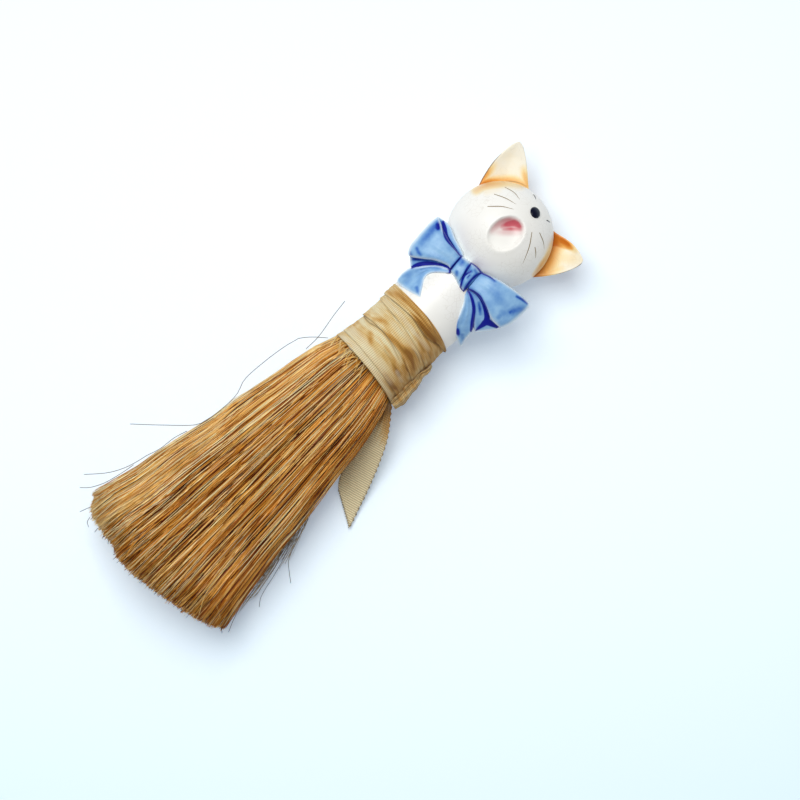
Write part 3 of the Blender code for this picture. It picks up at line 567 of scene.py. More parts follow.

# Ears: pixels of both edges from the head to the tip, where across the ear its hollow is deepest,
# the height of its tip, the sprayed colour on it, a facet of deep amber that is partly painted shade,
# and dark lines along its edges and base that are partly brown paint and partly painted shade
EARS = {
    "ear_left": {
        "outer": ((472.5, 194.5), (478.3, 186), (483, 177), (491.8, 163.5), (500.6, 153.8), (508.6, 146.8),
                  (514.8, 142.8), (518.8, 141.4)),
        "inner": ((529, 191), (528.1, 181), (527.6, 172), (526.5, 161.5), (525.3, 154.5), (523.6, 147.5),
                  (521.6, 143.6), (520.3, 142.2)),
        "deepest": 0,
        "lift": 1.5,
        "amber": (
            (((477, 187), (488, 183), (501, 181), (514, 181), (526, 186)), 8, (1, 0.9, 0.6, 0.5, 0.55)),
            (((478, 184), (489, 170.5), (497, 161)), 6.5, (0.85, 0.65, 0)),
            (((527, 186), (524.5, 174), (523, 163)), 6, (0.6, 0.5, 0)),
        ),
        "facet_amber_and_shade": (),
        "lines": (
            (((479.6, 184.6), (484.4, 175.4), (493, 162.6), (501.4, 153.6)), (0.9, 1.5, 1.3, 0.2)),
            (((480, 185.6), (489.6, 183.6), (500.5, 181.9), (511.3, 181.3), (520, 183.2), (526.5, 186.4)),
             (0.5, 0.3, 0.3, 0.6, 0.7, 0.4)),
        ),
    },
    "ear_right": {
        "outer": ((527, 279), (533, 277.4), (544, 276.4), (558, 274.2), (567, 271.5), (575, 268.2),
                  (580.7, 264.6), (582.8, 261.2)),
        "inner": ((551.5, 228.5), (556, 232.8), (563, 237), (569.9, 241.7), (575, 246.5), (579.4, 252),
                  (581.8, 256.2), (583.1, 259.8)),
        "deepest": 0.5,
        "lift": 3,
        "amber": (
            (((551.5, 236), (549.5, 248), (544, 262), (534, 276)), 22, (0.95, 0.8, 0.85, 0.95)),
            (((534, 277), (548, 273), (561, 268)), 8, (0.95, 0.6, 0.2)),
            (((562, 240), (569, 244.5), (575, 249.5)), 8, (0.9, 0.75, 0.25)),
            (((556, 254), (568, 258), (580, 260)), 13, (0.3, 0.2, 0.1)),
        ),
        "facet_amber_and_shade": ((((554, 239.5), (560, 242), (566, 245.5), (572, 249)), (13, 10.5, 8, 2)),),
        "lines": (
            (((552.3, 231.9), (550.8, 243.8), (547.6, 254.7), (542.7, 263.3), (536.2, 272)),
             (0.9, 0.7, 0.6, 0.5, 0.3)),
            (((548, 276.2), (558, 274.4), (573.1, 269.5), (581.5, 263.6)), (0.1, 0.9, 1.1, 0.7)),
        ),
    },
}
EAR_THICKNESS = 3.6 * MM
EAR_EDGE = 0.7 * MM
EAR_HOLLOW = 1.7 * MM
EAR_FULL_WIDTH = 9 * MM
EAR_THIN_WIDTH = 4 * MM
EAR_ROOT_HEIGHT = -1.0
EAR_BACK_AMBER = 0.8


def head_height(x, y):
    """Height over the table of the round head's front at a place."""
    spread = (x - HEAD_CENTRE.x) ** 2 + (y - HEAD_CENTRE.y) ** 2
    return HEAD_CENTRE.z + math.sqrt(max(HEAD_RADIUS ** 2 - spread, 0.0))


def on_head(pixel):
    """Point of the round head that the camera sees at a pixel."""
    height = HEAD_CENTRE.z
    for _ in range(12):
        point = seen_at(pixel, height)
        height = head_height(point.x, point.y)
    return seen_at(pixel, height)


def lean(along):
    """How far the bound neck and the chest stand to the right of the axis."""
    rise = mix(0.5, 1.0, ease((along - WRAP_START) / (12 * MM)))
    return LEAN_RIGHT * float(rise * (1 - ease((along - CHEST_END) / (NECK_START - CHEST_END))))


def body_radius(along):
    """Radius of the figure below the head at a place on the axis."""
    chest = CHEST_RADIUS - CHEST_SHRINK * (1 - ease((along - SHOULDER) / (5 * MM)))
    return mix(chest, NECK_RADIUS, ease((along - CHEST_END) / (NECK_START - CHEST_END)))


def figure_height(x, y):
    """Height over the table of the figure's front at a place, or of its side plane."""
    head = HEAD_RADIUS ** 2 - (x - HEAD_CENTRE.x) ** 2 - (y - HEAD_CENTRE.y) ** 2
    chest = float(body_radius(y)) ** 2 - (x - AXIS.x - lean(y)) ** 2
    return AXIS.z + math.sqrt(max(head, chest, 0.0))


def make_figure():
    """Head and body in one smooth skin, with the mouth sunk in."""
    bm = bmesh.new()
    bmesh.ops.create_uvsphere(bm, u_segments=FIGURE_SIDES, v_segments=96, radius=HEAD_RADIUS - SMALL_GAP)
    bmesh.ops.translate(bm, verts=bm.verts, vec=HEAD_CENTRE)
    profile = [(FOOT, 0.0), (FOOT, SKIRT_RADIUS), (SHOULDER, SKIRT_RADIUS)]
    steps = np.linspace(SHOULDER, NECK_START, 40)
    profile += [(along, float(body_radius(along))) for along in steps]
    profile += [(HEAD_CENTRE.y - NECK_RADIUS, NECK_RADIUS), (HEAD_CENTRE.y, 0.0)]
    rings = []
    for along, radius in profile:
        count = FIGURE_SIDES if radius > 0 else 1
        middle = AXIS.x + lean(along)
        turns = [FULL_TURN * index / count for index in range(count)]
        rings.append([bm.verts.new((middle + radius * math.cos(turn), along,
                                    AXIS.z + radius * math.sin(turn))) for turn in turns])
    for first, second in zip(rings, rings[1:]):
        for index in range(FIGURE_SIDES):
            corners = [first[index % len(first)], second[index % len(second)],
                       second[(index + 1) % len(second)], first[(index + 1) % len(first)]]
            bm.faces.new(list(dict.fromkeys(corners)))
    bmesh.ops.recalc_face_normals(bm, faces=bm.faces)
    rough = put("rough_kitten", mesh_of("rough_kitten", bm))
    remesh = rough.modifiers.new("skin", "REMESH")
    remesh.mode = "VOXEL"
    remesh.voxel_size = SKIN_VOXEL
    relax = rough.modifiers.new("relax", "SMOOTH")
    relax.factor = 0.5
    relax.iterations = 8
    skin = bpy.data.meshes.new_from_object(rough.evaluated_get(bpy.context.evaluated_depsgraph_get()))
    skin.name = "kitten"
    bpy.data.objects.remove(rough)
    figure = put_smooth(skin, figure_material())
    shape_face(figure)
    fit(figure, "cat_figure")


def shape_face(figure):
    """Sink the mouth, and store where the amber and the pink glaze lie."""
    places = vertex_array(figure)
    front = places[:, 2] > HEAD_CENTRE.z
    pixels = to_pixels(places)
    turned = pixels - np.array(MOUTH_PIXELS)
    cos, sin = math.cos(MOUTH_TURN), math.sin(MOUTH_TURN)
    long = (turned[:, 0] * cos + turned[:, 1] * sin) * PIXEL / MOUTH_HALF_LONG
    wide = (-turned[:, 0] * sin + turned[:, 1] * cos) * PIXEL / MOUTH_HALF_WIDE
    reach = np.hypot(long, wide)
    steep = (turned @ np.array(MOUTH_STEEP_SIDE)) * PIXEL / MOUTH_HALF_LONG
    bowl = np.where(front, np.clip(1 - reach ** 2.8, 0, 1) ** 0.6, 0.0)
    bowl *= np.clip(0.72 + 0.55 * steep, 0.15, 1.3)
    lip = np.where(front, hump(reach, 1.12, 0.13), 0.0)
    away = places - np.array(HEAD_CENTRE)
    away /= np.maximum(np.linalg.norm(away, axis=1), 1e-9)[:, None]
    places -= away * (bowl * MOUTH_DEPTH - lip * LIP_HEIGHT)[:, None]
    places[:, 2] = np.maximum(places[:, 2], SMALL_GAP)
    figure.data.vertices.foreach_set("co", places.ravel())
    figure.data.update()
    inside = np.where(front, 1 - ease((reach - 0.9) / 0.12), 0.0)
    set_mask(figure, "pink", np.clip(spray_mask(pixels, PINK_SPRAY) * inside, 0, 1))
    sprayed = np.where(places[:, 2] > HEAD_CENTRE.z - 5 * MM, spray_mask(pixels, AMBER_SPRAY), 0.0)
    behind = ease((HEAD_CENTRE.z - 4 * MM - places[:, 2]) / (6 * MM))
    crown = ease((places[:, 1] - HEAD_CENTRE.y - 2 * MM) / (9 * MM))
    set_mask(figure, "amber", np.maximum(sprayed, behind * crown * CROWN_AMBER))


def make_nose():
    """Glossy black nose on the round of the head."""
    point = on_head(NOSE_PIXELS)
    normal = (point - HEAD_CENTRE).normalized()
    side = UP.cross(normal).normalized()
    up = normal.cross(side)
    bm = bmesh.new()
    bmesh.ops.create_uvsphere(bm, u_segments=48, v_segments=32, radius=1.0)
    cos, sin = math.cos(NOSE_TURN), math.sin(NOSE_TURN)
    for vert in bm.verts:
        x, y, z = (value * size for value, size in zip(vert.co, NOSE_HALF_SIZES))
        x, y = x * cos - y * sin, x * sin + y * cos
        vert.co = point + side * x + up * y + normal * z
    fit(put_smooth(mesh_of("nose", bm), plain_gloss("black_glaze", linear(7, 13, 36), 0.3)))


def make_brush_line(name, pixels, radius, material):
    """Painted line on the head: a fine raised stroke, thin at both ends."""
    line = [on_head(pixel) for pixel in curve_through(pixels, 16)]
    line = [point - (point - HEAD_CENTRE).normalized() * radius * SINK_OF_LINE for point in line]
    stroke = put_line(name, line, radius, 2, material)
    for index, target in enumerate(stroke.data.splines[0].points):
        share = index / (len(line) - 1)
        target.radius = mix(0.35, 1.0, math.sin(math.pi * min(share * 0.75 + 0.25, 1.0)))
    fit(stroke)


def make_face_lines():
    """Painted whiskers and closed eyes."""
    brown = plain_gloss("brown_paint", linear(118, 98, 56), 0.4)
    black = plain_gloss("black_paint", linear(30, 30, 40), 0.25)
    for kind, lines, radius, paint in (("whisker", WHISKER_PIXELS, WHISKER_RADIUS, brown),
                                       ("eye", EYE_PIXELS, EYE_RADIUS, black)):
        for number, pixels in enumerate(lines):
            make_brush_line(f"{kind}_{number + 1}", pixels, radius, paint)


def make_ear(name):
    """Ear with a hollow, cream front and an amber root and back."""
    facts = EARS[name]
    rows, columns = 96, 61
    outer = curve_through(facts["outer"], rows)
    inner = curve_through(facts["inner"], rows)
    deepest = facts["deepest"]

    def place_at(row, column):
        share = row / (rows - 1)
        height = AXIS.z + mix(EAR_ROOT_HEIGHT, facts["lift"], share) * MM
        width = np.linalg.norm(outer[row] - inner[row]) * PIXEL
        hollow = EAR_HOLLOW * min(width / EAR_FULL_WIDTH, 1.0) * (1 - share ** 3)
        thick = mix(EAR_THICKNESS, EAR_EDGE, share) * min(width / EAR_THIN_WIDTH, 1.0)
        place = 2 * column / (columns - 1) - 1
        pixel = mix(outer[row], inner[row], (place + 1) / 2)
        from_deepest = abs(place - deepest) / (1 + deepest if place < deepest else 1 - deepest)
        rise = EAR_EDGE * (1 - abs(place) ** 6) ** 0.5 - EAR_EDGE
        dip = hollow * (1 - from_deepest ** 1.6)
        back = thick * math.sqrt(max(1 - place ** 2, 0))
        return (seen_at(pixel, height + rise - dip),
                seen_at(pixel, height - EAR_EDGE - back - dip * 0.4))

    ear, _ = slab(name + "_shell", rows, columns, place_at, ear_material())
    pixels = to_pixels(vertex_array(ear)[:rows * columns])
    back = np.full(rows * columns, EAR_BACK_AMBER)
    # Deep amber on the right ear's upper facet: partly amber glaze, partly painted shade
    amber = np.clip(spray_mask(pixels, facts["amber"]) + 0.3 * ink_mask(pixels, facts["facet_amber_and_shade"], 2.4), 0, 1)
    set_mask(ear, "amber", np.concatenate([amber, back]))
    # Dark lines along the edges and base: partly brown paint, partly painted shade
    set_mask(ear, "line", np.concatenate([ink_mask(pixels, facts["lines"]) * 0.8, back * 0]))
    fit(ear, name)


# Bow

# Strips of the bow, each between two edges given from the knot outwards, with its
# height over the table at the knot, further out and at the end, its thickness and
# its crown in millimetres, and how far it stays over the figure where it drapes
BOW_STRIPS = {
    "bow_loop_left": {
        "one": ((461.5, 255.5), (455.3, 248.6), (447.6, 237.8), (442.8, 229), (440.2, 221.5), (438, 216.6)),
        "two": ((450, 269.5), (446.6, 265), (434.9, 260.4), (423.7, 258.8), (413.5, 257.3), (409.2, 255.8)),
        "end": ((438, 216.6), (430.8, 221.9), (423.7, 229.6), (416.5, 237.8), (410.4, 245.9),
                (408.2, 252.6), (409.2, 255.8)),
        "heights": (29.8, 30.9, 28.2),
        "thickness": 4.2,
        "crown": 1.7,
    },
    "bow_band_left": {
        "one": ((463.8, 256.5), (461.6, 250), (455.5, 238.8), (450.4, 226.5), (444, 220.2), (439, 217.2)),
        "two": ((457.5, 257.5), (449, 246), (442.5, 234.5), (439.5, 227), (437.5, 222), (436.5, 218.6)),
        "heights": (28.6, 28.2, 24.4),
        "thickness": 3.2,
        "crown": 0.7,
    },
    "bow_under_left": {
        "one": ((451.5, 266.5), (446.5, 262.5), (435, 257.5), (423.5, 256), (414, 254.5), (409.6, 253.5)),
        "two": ((450, 271), (447.5, 269.3), (435.9, 265.8), (423.7, 266.3), (415, 267.8), (410.6, 267)),
        "heights": (28.2, 27.6, 24.6),
        "thickness": 2.6,
        "crown": 0.2,
        "drape": 0.5,
    },
    "bow_tail_left": {
        "one": ((449.8, 269.5), (435.9, 265.4), (423.7, 265.8), (411.4, 267.4), (403.3, 272.4),
                (397.8, 278.6)),
        "two": ((450.8, 273.6), (439, 272.6), (430.4, 273.4), (425, 278), (422.9, 285.5), (420.4, 297.2)),
        "end": ((397.8, 278.6), (397.4, 282.9), (403, 287.4), (411, 292.2), (420.4, 297.2)),
        "heights": (27.8, 27.2, 24.4),
        "thickness": 2.6,
        "crown": 0.7,
        "drape": 0.9,
    },
    "bow_loop_right": {
        "one": ((481.8, 272), (492, 276.6), (502.2, 281.7), (512.4, 288.6), (521.6, 295.6), (529, 302.8)),
        "two": ((467, 289.5), (476.5, 294.3), (483.7, 304.1), (488.5, 314.3), (493.4, 321.6), (500, 328)),
        "end": ((529, 302.8), (528.4, 307.4), (521.6, 314.5), (512.4, 322.6), (505.3, 326.3), (500, 328)),
        "heights": (29.8, 31, 27.4),
        "thickness": 4.2,
        "crown": 1.7,
    },
    "bow_back_right": {
        "one": ((470, 288), (480, 296), (487, 307), (491.5, 318), (499.5, 327)),
        "two": ((466, 290), (470.5, 302), (472.8, 315), (473.2, 326), (475.2, 331.8)),
        "end": ((499.5, 327), (494, 329.6), (483.5, 331.2), (475.2, 331.8)),
        "heights": (28.8, 28, 22.8),
        "thickness": 3,
        "crown": 0.5,
    },
    "bow_tail_right": {
        "one": ((468.5, 288.5), (473.5, 302), (474.8, 315), (472.5, 330), (466.5, 338), (461.6, 345.6)),
        "two": ((463.8, 291), (463.5, 302), (460.4, 312.2), (455.6, 322.8), (454.4, 331.2), (459.6, 345.4)),
        "heights": (28.6, 27.2, 18.4),
        "thickness": 2.6,
        "crown": 0.9,
    },
}
# Strips that stand for a solid; the others are folds of theirs
BOW_NODES = ("bow_loop_left", "bow_loop_right", "bow_tail_left", "bow_tail_right")
# Dark glaze in the creases: pixels of each stroke and its widths in pixels
BOW_INK = (
    (((443.2, 221.8), (444.8, 230.5), (446.2, 236.5), (449.8, 242.3), (454.2, 247.9), (458.9, 254),
     (461.2, 256.4)), (2.2, 4.8, 4.6, 4.2, 2.8, 1.8, 1.5)),
    (((412, 267.4), (416.2, 265.3), (423.5, 263.7), (433.1, 263.6), (441.5, 264.9), (447.6, 267.2),
     (450, 270)), (2.4, 4.6, 4.2, 3.8, 2.8, 2.8, 2)),
    (((461.8, 256.2), (456, 262.5), (450, 269.8)), (1.7, 2, 2.4)),
    (((450, 269.8), (449, 273.4), (441.5, 273.8), (436, 272.9)), (2.4, 2, 1.3, 0.5)),
    (((471.2, 263.2), (467.3, 268.7), (464.5, 274.5), (462.2, 280.5), (460.3, 287.8)),
     (1.5, 2.2, 2.8, 2, 1.8)),
    (((464.5, 275.4), (467.6, 273.6), (470.9, 271.4)), (1.6, 1.5, 1.1)),
    (((467.7, 277.2), (469.6, 275.3)), (0.8, 0.7)),
    (((471.4, 263), (476.3, 266.4), (479.6, 270.2), (481.4, 273)), (1.4, 1.9, 2.1, 2)),
    (((482, 272.6), (476.8, 275), (472.3, 278.9), (467.9, 284.4), (464.5, 290), (462.2, 292.4)),
     (1.8, 1.9, 2, 2, 2.2, 2.2)),
    (((460.3, 287.6), (461.7, 290.6), (463.4, 293.6)), (1.8, 2.4, 2.4)),
    (((481.8, 273.2), (486.5, 275.3), (490.9, 277.6), (494.5, 280.4)), (1.8, 1.7, 1.5, 0.5)),
    (((467.3, 289.5), (470.9, 296.2), (473, 302.9), (473.9, 309.5), (473.3, 316.2), (472.4, 322.9),
     (472, 330.4)), (1.8, 2.5, 3.2, 3.5, 3.5, 3.9, 4.2)),
    (((468.5, 288.9), (473.9, 291.6), (479.4, 296.4), (483, 302.9), (485.5, 309.5), (487, 316.2),
     (486.7, 321)), (1.7, 2.3, 3.2, 3.3, 4.1, 5.2, 6.4)),
    (((475.8, 330.4), (481.5, 325.8), (486.7, 322), (492.1, 324.4), (499.4, 328.4)),
     (1.2, 4, 7.6, 4.6, 1.8)),
    (((457.4, 330.8), (457.8, 333.6)), (2.6, 2.6)),
    (((438.2, 224.6), (438.4, 228.4)), (2.2, 2.4)),
)
# Darker patches in the blue, partly mottled glaze and partly painted shade, as along the right tail's left
# edge: pixels of each stroke, its radius and its strengths
BOW_MOTTLE_AND_SHADE = (
    (((438, 224), (433, 229.5), (427.5, 235.5), (422.5, 243)), 8, (0.5, 0.42, 0.42, 0.22)),
    (((427.5, 234), (429, 236.5)), 3.5, (0.4, 0.4)),
    (((416.8, 248.5), (418.2, 251.6), (420.4, 254.8)), 3.2, (0.45, 0.5, 0.4)),
    (((410, 252.5), (411.5, 256.8)), 2.6, (0.4, 0.6)),
    (((411.5, 259), (419, 259.4), (427, 260.6), (436, 262)), 3.2, (0.55, 0.6, 0.45, 0.3)),
    (((510, 312.2), (513, 309.6)), 4, (0.62, 0.4)),
    (((503.5, 314), (512, 311), (521.5, 310)), 7.5, (0.28, 0.42, 0.3)),
    (((498.5, 317.5), (501, 315.5)), 4, (0.32, 0.3)),
    (((493, 291), (501, 300), (506, 306)), 9, (0.15, 0.22, 0.2)),
    (((517, 296.6), (521.5, 299), (527.5, 303.2)), 2.6, (0.6, 0.75, 0.6)),
    (((404, 275), (409.5, 275.5), (406.5, 281.5)), 6, (0.1, 0.18, 0.14)),
    (((416.6, 287.8), (417.8, 291)), 3.4, (0.4, 0.4)),
    (((421, 269), (431, 267.4), (441, 268)), 2.4, (0.25, 0.35, 0.25)),
    (((478.8, 303), (479.6, 308), (480.4, 314)), 2.8, (0.35, 0.6, 0.45)),
    (((456.5, 329.5), (458, 334.5)), 4, (0.5, 0.5)),
    (((462, 335), (463.6, 339.5)), 3.5, (0.35, 0.3)),
    (((460.4, 310), (457.5, 321), (455.6, 329)), 2.8, (0.3, 0.4, 0.4)),
    (((463.4, 260.6), (461, 264.4)), 3.8, (0.36, 0.42)),
    (((456.6, 272), (456.2, 275)), 3.2, (0.5, 0.45)),
    (((475, 270), (476, 272)), 2.6, (0.4, 0.3)),
)
INK_SHADOW = (3.6, (0.42, 0.42))
BOW_RIM_WIDTH = 0.5 * MM
BOW_POOL_PLACE = 1.5 * MM
BOW_POOL_WIDTH = 0.9 * MM
BOW_HEIGHT_SHARES = (0, 0.45, 1)
BOW_END_ROUND = 1.2 * MM
BOW_GROOVE = 0.22
BOW_SINK = 1.15 * MM
BOW_THINNEST = 0.4 * MM
KNOT_EDGE_ONE = ((461.2, 255.4), (470.4, 261.6), (476.7, 266), (483, 272))
KNOT_EDGE_TWO = ((449.6, 270.6), (455, 278.8), (459.2, 287.4), (463.6, 292.6))
KNOT_HEIGHT = 29.0 * MM
KNOT_SWELL = 3.6 * MM
KNOT_FOLD = 0.9 * MM
KNOT_BOTTOM = 25.5 * MM
KNOT_WIDTH = 5.5 * MM


def make_bow_strip(name, facts):
    """One folded strip of the bow, laid at its height and kept clear of the glaze below."""
    rows, columns = 100, 65
    one = curve_through(facts["one"], rows)
    two = curve_through(facts["two"], rows)
    length = np.linalg.norm(np.diff((one + two) / 2, axis=0), axis=1).sum() * PIXEL
    end = curve_through(facts["end"], columns) if "end" in facts else None
    heights = np.polyfit(BOW_HEIGHT_SHARES, [height * MM for height in facts["heights"]], 2)

    def place_at(row, column):
        share, place = row / (rows - 1), column / (columns - 1)
        pixel = mix(one[row], two[row], place)
        if end is not None:
            pixel = pixel + (end[column] - mix(one[-1], two[-1], place)) * share ** 2
        to_end = (1 - share) * length
        to_side = min(place, 1 - place) * (np.linalg.norm(two[row] - one[row]) * PIXEL)
        spread = abs(2 * place - 1)
        round_off = (1 - spread ** 4) ** 0.5
        end_off = 1 - 0.5 * (1 - ease(to_end / BOW_END_ROUND))
        groove = BOW_GROOVE * math.cos(spread * 7.5 + 0.5) * (1 - share) * math.sin(math.pi * share)
        rise = (facts["crown"] * (round_off - 0.5) * end_off + groove) * MM
        depth = facts["thickness"] * MM * (0.25 + 0.75 * round_off) * end_off
        level = float(np.polyval(heights, share)) + rise
        point = seen_at(pixel, level)
        if "drape" in facts:
            clear = figure_height(point.x, point.y) + facts["drape"] * MM * end_off * round_off
            level = max(level, clear)
            point = seen_at(pixel, level)
        low = level - depth
        if abs(point.x - AXIS.x - lean(point.y)) < CHEST_RADIUS * 1.02:
            low = min(max(low, figure_height(point.x, point.y) - BOW_SINK), level - BOW_THINNEST)
        return point, (point.x, point.y, low), min(to_side, to_end)

    strip, (edge,) = slab(name + "_glaze", rows, columns, place_at, bow_material())
    paint_bow(strip, edge)
    fit(strip, name if name in BOW_NODES else None)


def make_bow_knot():
    """Knot of the bow: a short band across its middle, with a fold on it."""
    rows, columns = 84, 71
    one = curve_through(KNOT_EDGE_ONE, rows)
    two = curve_through(KNOT_EDGE_TWO, rows)

    def place_at(row, column):
        share, place = row / (rows - 1), column / (columns - 1)
        across, along = abs(2 * place - 1), abs(2 * share - 1)
        swell = (1 - across ** 3.5) ** 0.5 * (1 - along ** 5) ** 0.5
        fold = hump(share - 0.5, 0.12 * place, 0.045) * (1 - max(across, along) ** 6)
        point = seen_at(mix(one[row], two[row], place), KNOT_HEIGHT + KNOT_SWELL * swell - KNOT_FOLD * fold)
        low = min(KNOT_BOTTOM, point.z - BOW_THINNEST)
        return point, (point.x, point.y, low), min(place, 1 - place) * KNOT_WIDTH

    knot, (edge,) = slab("bow_knot_glaze", rows, columns, place_at, bow_material())
    paint_bow(knot, edge)
    fit(knot, "bow_knot")


def paint_bow(piece, edge):
    """Store the dark ink, the pale rim of thin glaze and painted highlight, and how deep the blue is, which
    holds pooled glaze and painted shade; edge is the way to the rim.
    """
    pixels = to_pixels(vertex_array(piece))
    set_mask(piece, "ink", ink_mask(pixels, BOW_INK) * 0.98)
    # Painted shade beside the creases and in some darker patches, added to the depth of the blue
    near = spray_mask(pixels, [(line, *INK_SHADOW) for line, _ in BOW_INK])
    near = near + 0.9 * spray_mask(pixels, BOW_MOTTLE_AND_SHADE)
    pool = hump(edge, BOW_POOL_PLACE, BOW_POOL_WIDTH)
    set_mask(piece, "depth", np.clip(0.33 + near + 0.1 * pool, 0, 1))
    # Pale rim: partly thin glaze on the edges, partly painted highlight
    set_mask(piece, "rim", hump(edge, 0, BOW_RIM_WIDTH))


# Brush

FIBRE_COUNT = 11000
FIBRE_SEED = 7
FIBRE_STEPS = 13
FIBRE_RADIUS = 0.155 * MM
WEDGES = 9
CLUMPS = 1500
# Reach of the brush to its left and right at places along its axis, all in pixels
ALONG_PIXELS = (-28, 0, 20, 40, 60, 80, 100, 120, 140, 160, 180, 200, 220, 240, 260, 280, 292)
LEFT_PIXELS = (95, 94, 89.5, 84, 82, 79.5, 75.5, 71.5, 67.5, 65.5, 62, 58, 55, 52.5, 49, 42.5, 37)
RIGHT_PIXELS = (89, 88.5, 84.5, 81, 78, 75, 72, 70.5, 67.5, 64.5, 61.5, 59.5, 57, 53, 48, 41, 36.5)
# How far the trimmed tips stand back from the foremost ones, across the brush
ACROSS_SHARES = (-1.0, -0.93, -0.84, -0.64, -0.46, -0.36, -0.11, 0.17, 0.45, 0.72, 0.9, 1.0)
TRIM_PIXELS = (26, 17, 10.5, 8, 6, 0.5, 0.3, 4.5, 9.5, 15, 20.5, 26)
# Height of the middle of the brush and half its thickness, in millimetres, along its length
MIDDLE_SHARES = (0, 0.75, 1)
MIDDLE_HEIGHTS = (14.9, 15.6, 16.6)
DEPTH_SHARES = (0, 0.5, 0.8, 0.98, 1.02)
HALF_DEPTHS = (14.5, 14.0, 13.5, 12.7, 11.6)
ROOT_IN_WINDING = 1.5 * MM
WAVE_OF_FIBRE = 0.3 * MM
# Share of the strands that lie near the outside, cross others, stand out or are cut short
SHALLOW, CROSSING, LONG, SHORT = 0.45, 0.3, 0.05, 0.08
# How far strands are drawn to their clump, and how much their ends scatter
CLUMP_PULL = 0.35
END_SCATTER, CROSSING_SCATTER = 0.06, 0.13
# How far single tips stand back from the trimmed line, and how far long and short
# strands stand out or back, in millimetres
TIP_SPREAD = 0.65 * MM
TIP_SHIFT = (-0.3 * MM, 0.4 * MM)
LONG_BY = (0.3, 1.3)
SHORT_BY = (2, 40)
# Dark strands are below the first share and pale ones above the second, with their change of tint;
# the dark ones partly stand in for painted shade between strands, the pale ones partly for painted
# highlights
DARK_BELOW, DARKER = 0.25, 0.5
PALE_ABOVE, PALER = 0.8, 0.42
TAPER_SHARES = (0, 0.8, 1)
TAPERS = (1.0, 0.95, 0.55)
# Pale strands that lie across the others near the tips, as pixels
LOOSE_PIXELS = (
    ((118.2, 550.5), (130.9, 535.8), (142.9, 522.4), (163, 505)),
    ((125.5, 558.5), (132.2, 543.8), (134.5, 531.7)),
    ((149.6, 586.6), (161.7, 570.6), (173.7, 561.2)),
    ((159, 589.3), (179.1, 571.9), (197.8, 550.5), (213.9, 526.4)),
    ((172.4, 597.3), (184.4, 575.9), (196.5, 558.5)),
    ((181.7, 601.4), (196.5, 588), (213.9, 569.2), (238, 546.5)),
    ((198.5, 616.1), (205.8, 593.3), (219.2, 575.9), (234, 558.5)),
    ((220.6, 618.8), (217.9, 609.4), (215.2, 602.7)),
    ((137.6, 515.7), (155, 502.3), (179.1, 487.6), (200.5, 470.2)),
    ((124.2, 529.1), (142.9, 510.3), (167, 494.3)),
    ((160.3, 546.5), (191.1, 526.4), (227.3, 505)),
)
LOOSE_COUNT = 170
# Their distances from the trimmed tips and their lengths in millimetres
LOOSE_STARTS = (1.0, 66.0)
LOOSE_LENGTHS = (14.0, 40.0)
LOOSE_END_GAP = 5.0 * MM
# Low strands in the shade that show beyond the right edge, as pixels, and their heights
LOW_PIXELS = (
    ((312, 499), (306, 515), (299.2, 532.8), (295.6, 540), (289, 552), (284, 560)),
    ((312, 505), (305, 523), (296, 535), (286, 549), (278, 561)),
    ((300, 518), (292, 537), (284, 547), (276, 557), (268, 567), (262, 574)),
    ((290, 530), (283, 549), (273.6, 563), (259.8, 581.3), (254.5, 587)),
    ((280, 545), (276.7, 560.9), (267.5, 575.9), (258.3, 588.9), (252.9, 596.6), (246, 601.2)),
    ((270, 560), (262.1, 579.3), (252.2, 592.7), (243, 604.2), (237.6, 611.9)),
)
LOW_COPIES = 8
LOW_HEIGHTS = (12.0, 4.5)
# Short ends in front of the winding, and two pale ones that bend out from under it
STUB_COUNT = 34
STUB_LENGTHS = (9, 24)
STUB_RISE = 12.6
STUB_PIXELS = ((338, 337), (346, 345), (354, 355), (362, 366))
BENT_ENDS = (
    ((336.5, 337.5), (331, 345), (328.5, 349), (329, 352.5), (325.5, 361)),
    ((346, 342.5), (351, 344.5), (353, 350), (356.5, 357.5), (359.5, 360.5)),
)
BENT_END_THICKNESS = 1.4
WAIST_RADIUS = 14.5 * MM
# Stray hairs that stand out of the bundle, as pixels
STRAY_HAIRS = (
    ((345, 301), (334, 315), (319, 336), (306, 349)),
    ((328, 338), (313, 337), (300, 338), (297, 339.5), (284, 347), (264, 362), (245, 379), (237, 394),
     (223, 408), (208, 419), (194, 425), (160, 425), (130, 424)),
    ((306, 520), (297, 531), (290.4, 540.7), (286.6, 552.2), (281.3, 562.9), (272.8, 577.4),
     (265.9, 588.1), (260.6, 598.1), (259.4, 606.9)),
    ((308, 519), (303, 528), (297, 541), (291.6, 552.2), (288.5, 561.3), (288.9, 569), (290.8, 583.2)),
    ((84, 474.5), (107, 472.8), (124, 468), (138, 461), (147, 455.4), (160, 448.7), (174, 438), (187, 431)),
    ((80, 487.6), (90, 487.4), (103, 483.5), (113.5, 478), (124, 471.5), (133.5, 464.8)),
    ((80, 511.7), (90.7, 507), (104, 503)),
    ((90, 517), (87.4, 522), (88.6, 527)),
    ((98, 528), (94.7, 532)),
    ((108.8, 537), (108, 544)),
    ((239.3, 608), (233, 621), (228.6, 632)),
    ((221.4, 626), (222, 633)),
)
HAIR_RADIUS = 0.1 * MM
HAIR_HEIGHTS = (13.0, 20.0)


def fan_half_width(along, side):
    """Reach of the brush to its left, where side is below 0, or right, at a distance from the tips."""
    station = along / PIXEL - TIPS_BEFORE_AXIS_PIXEL
    left = np.interp(station, ALONG_PIXELS, LEFT_PIXELS)
    right = np.interp(station, ALONG_PIXELS, RIGHT_PIXELS)
    return np.where(side < 0, left, right) * PIXEL


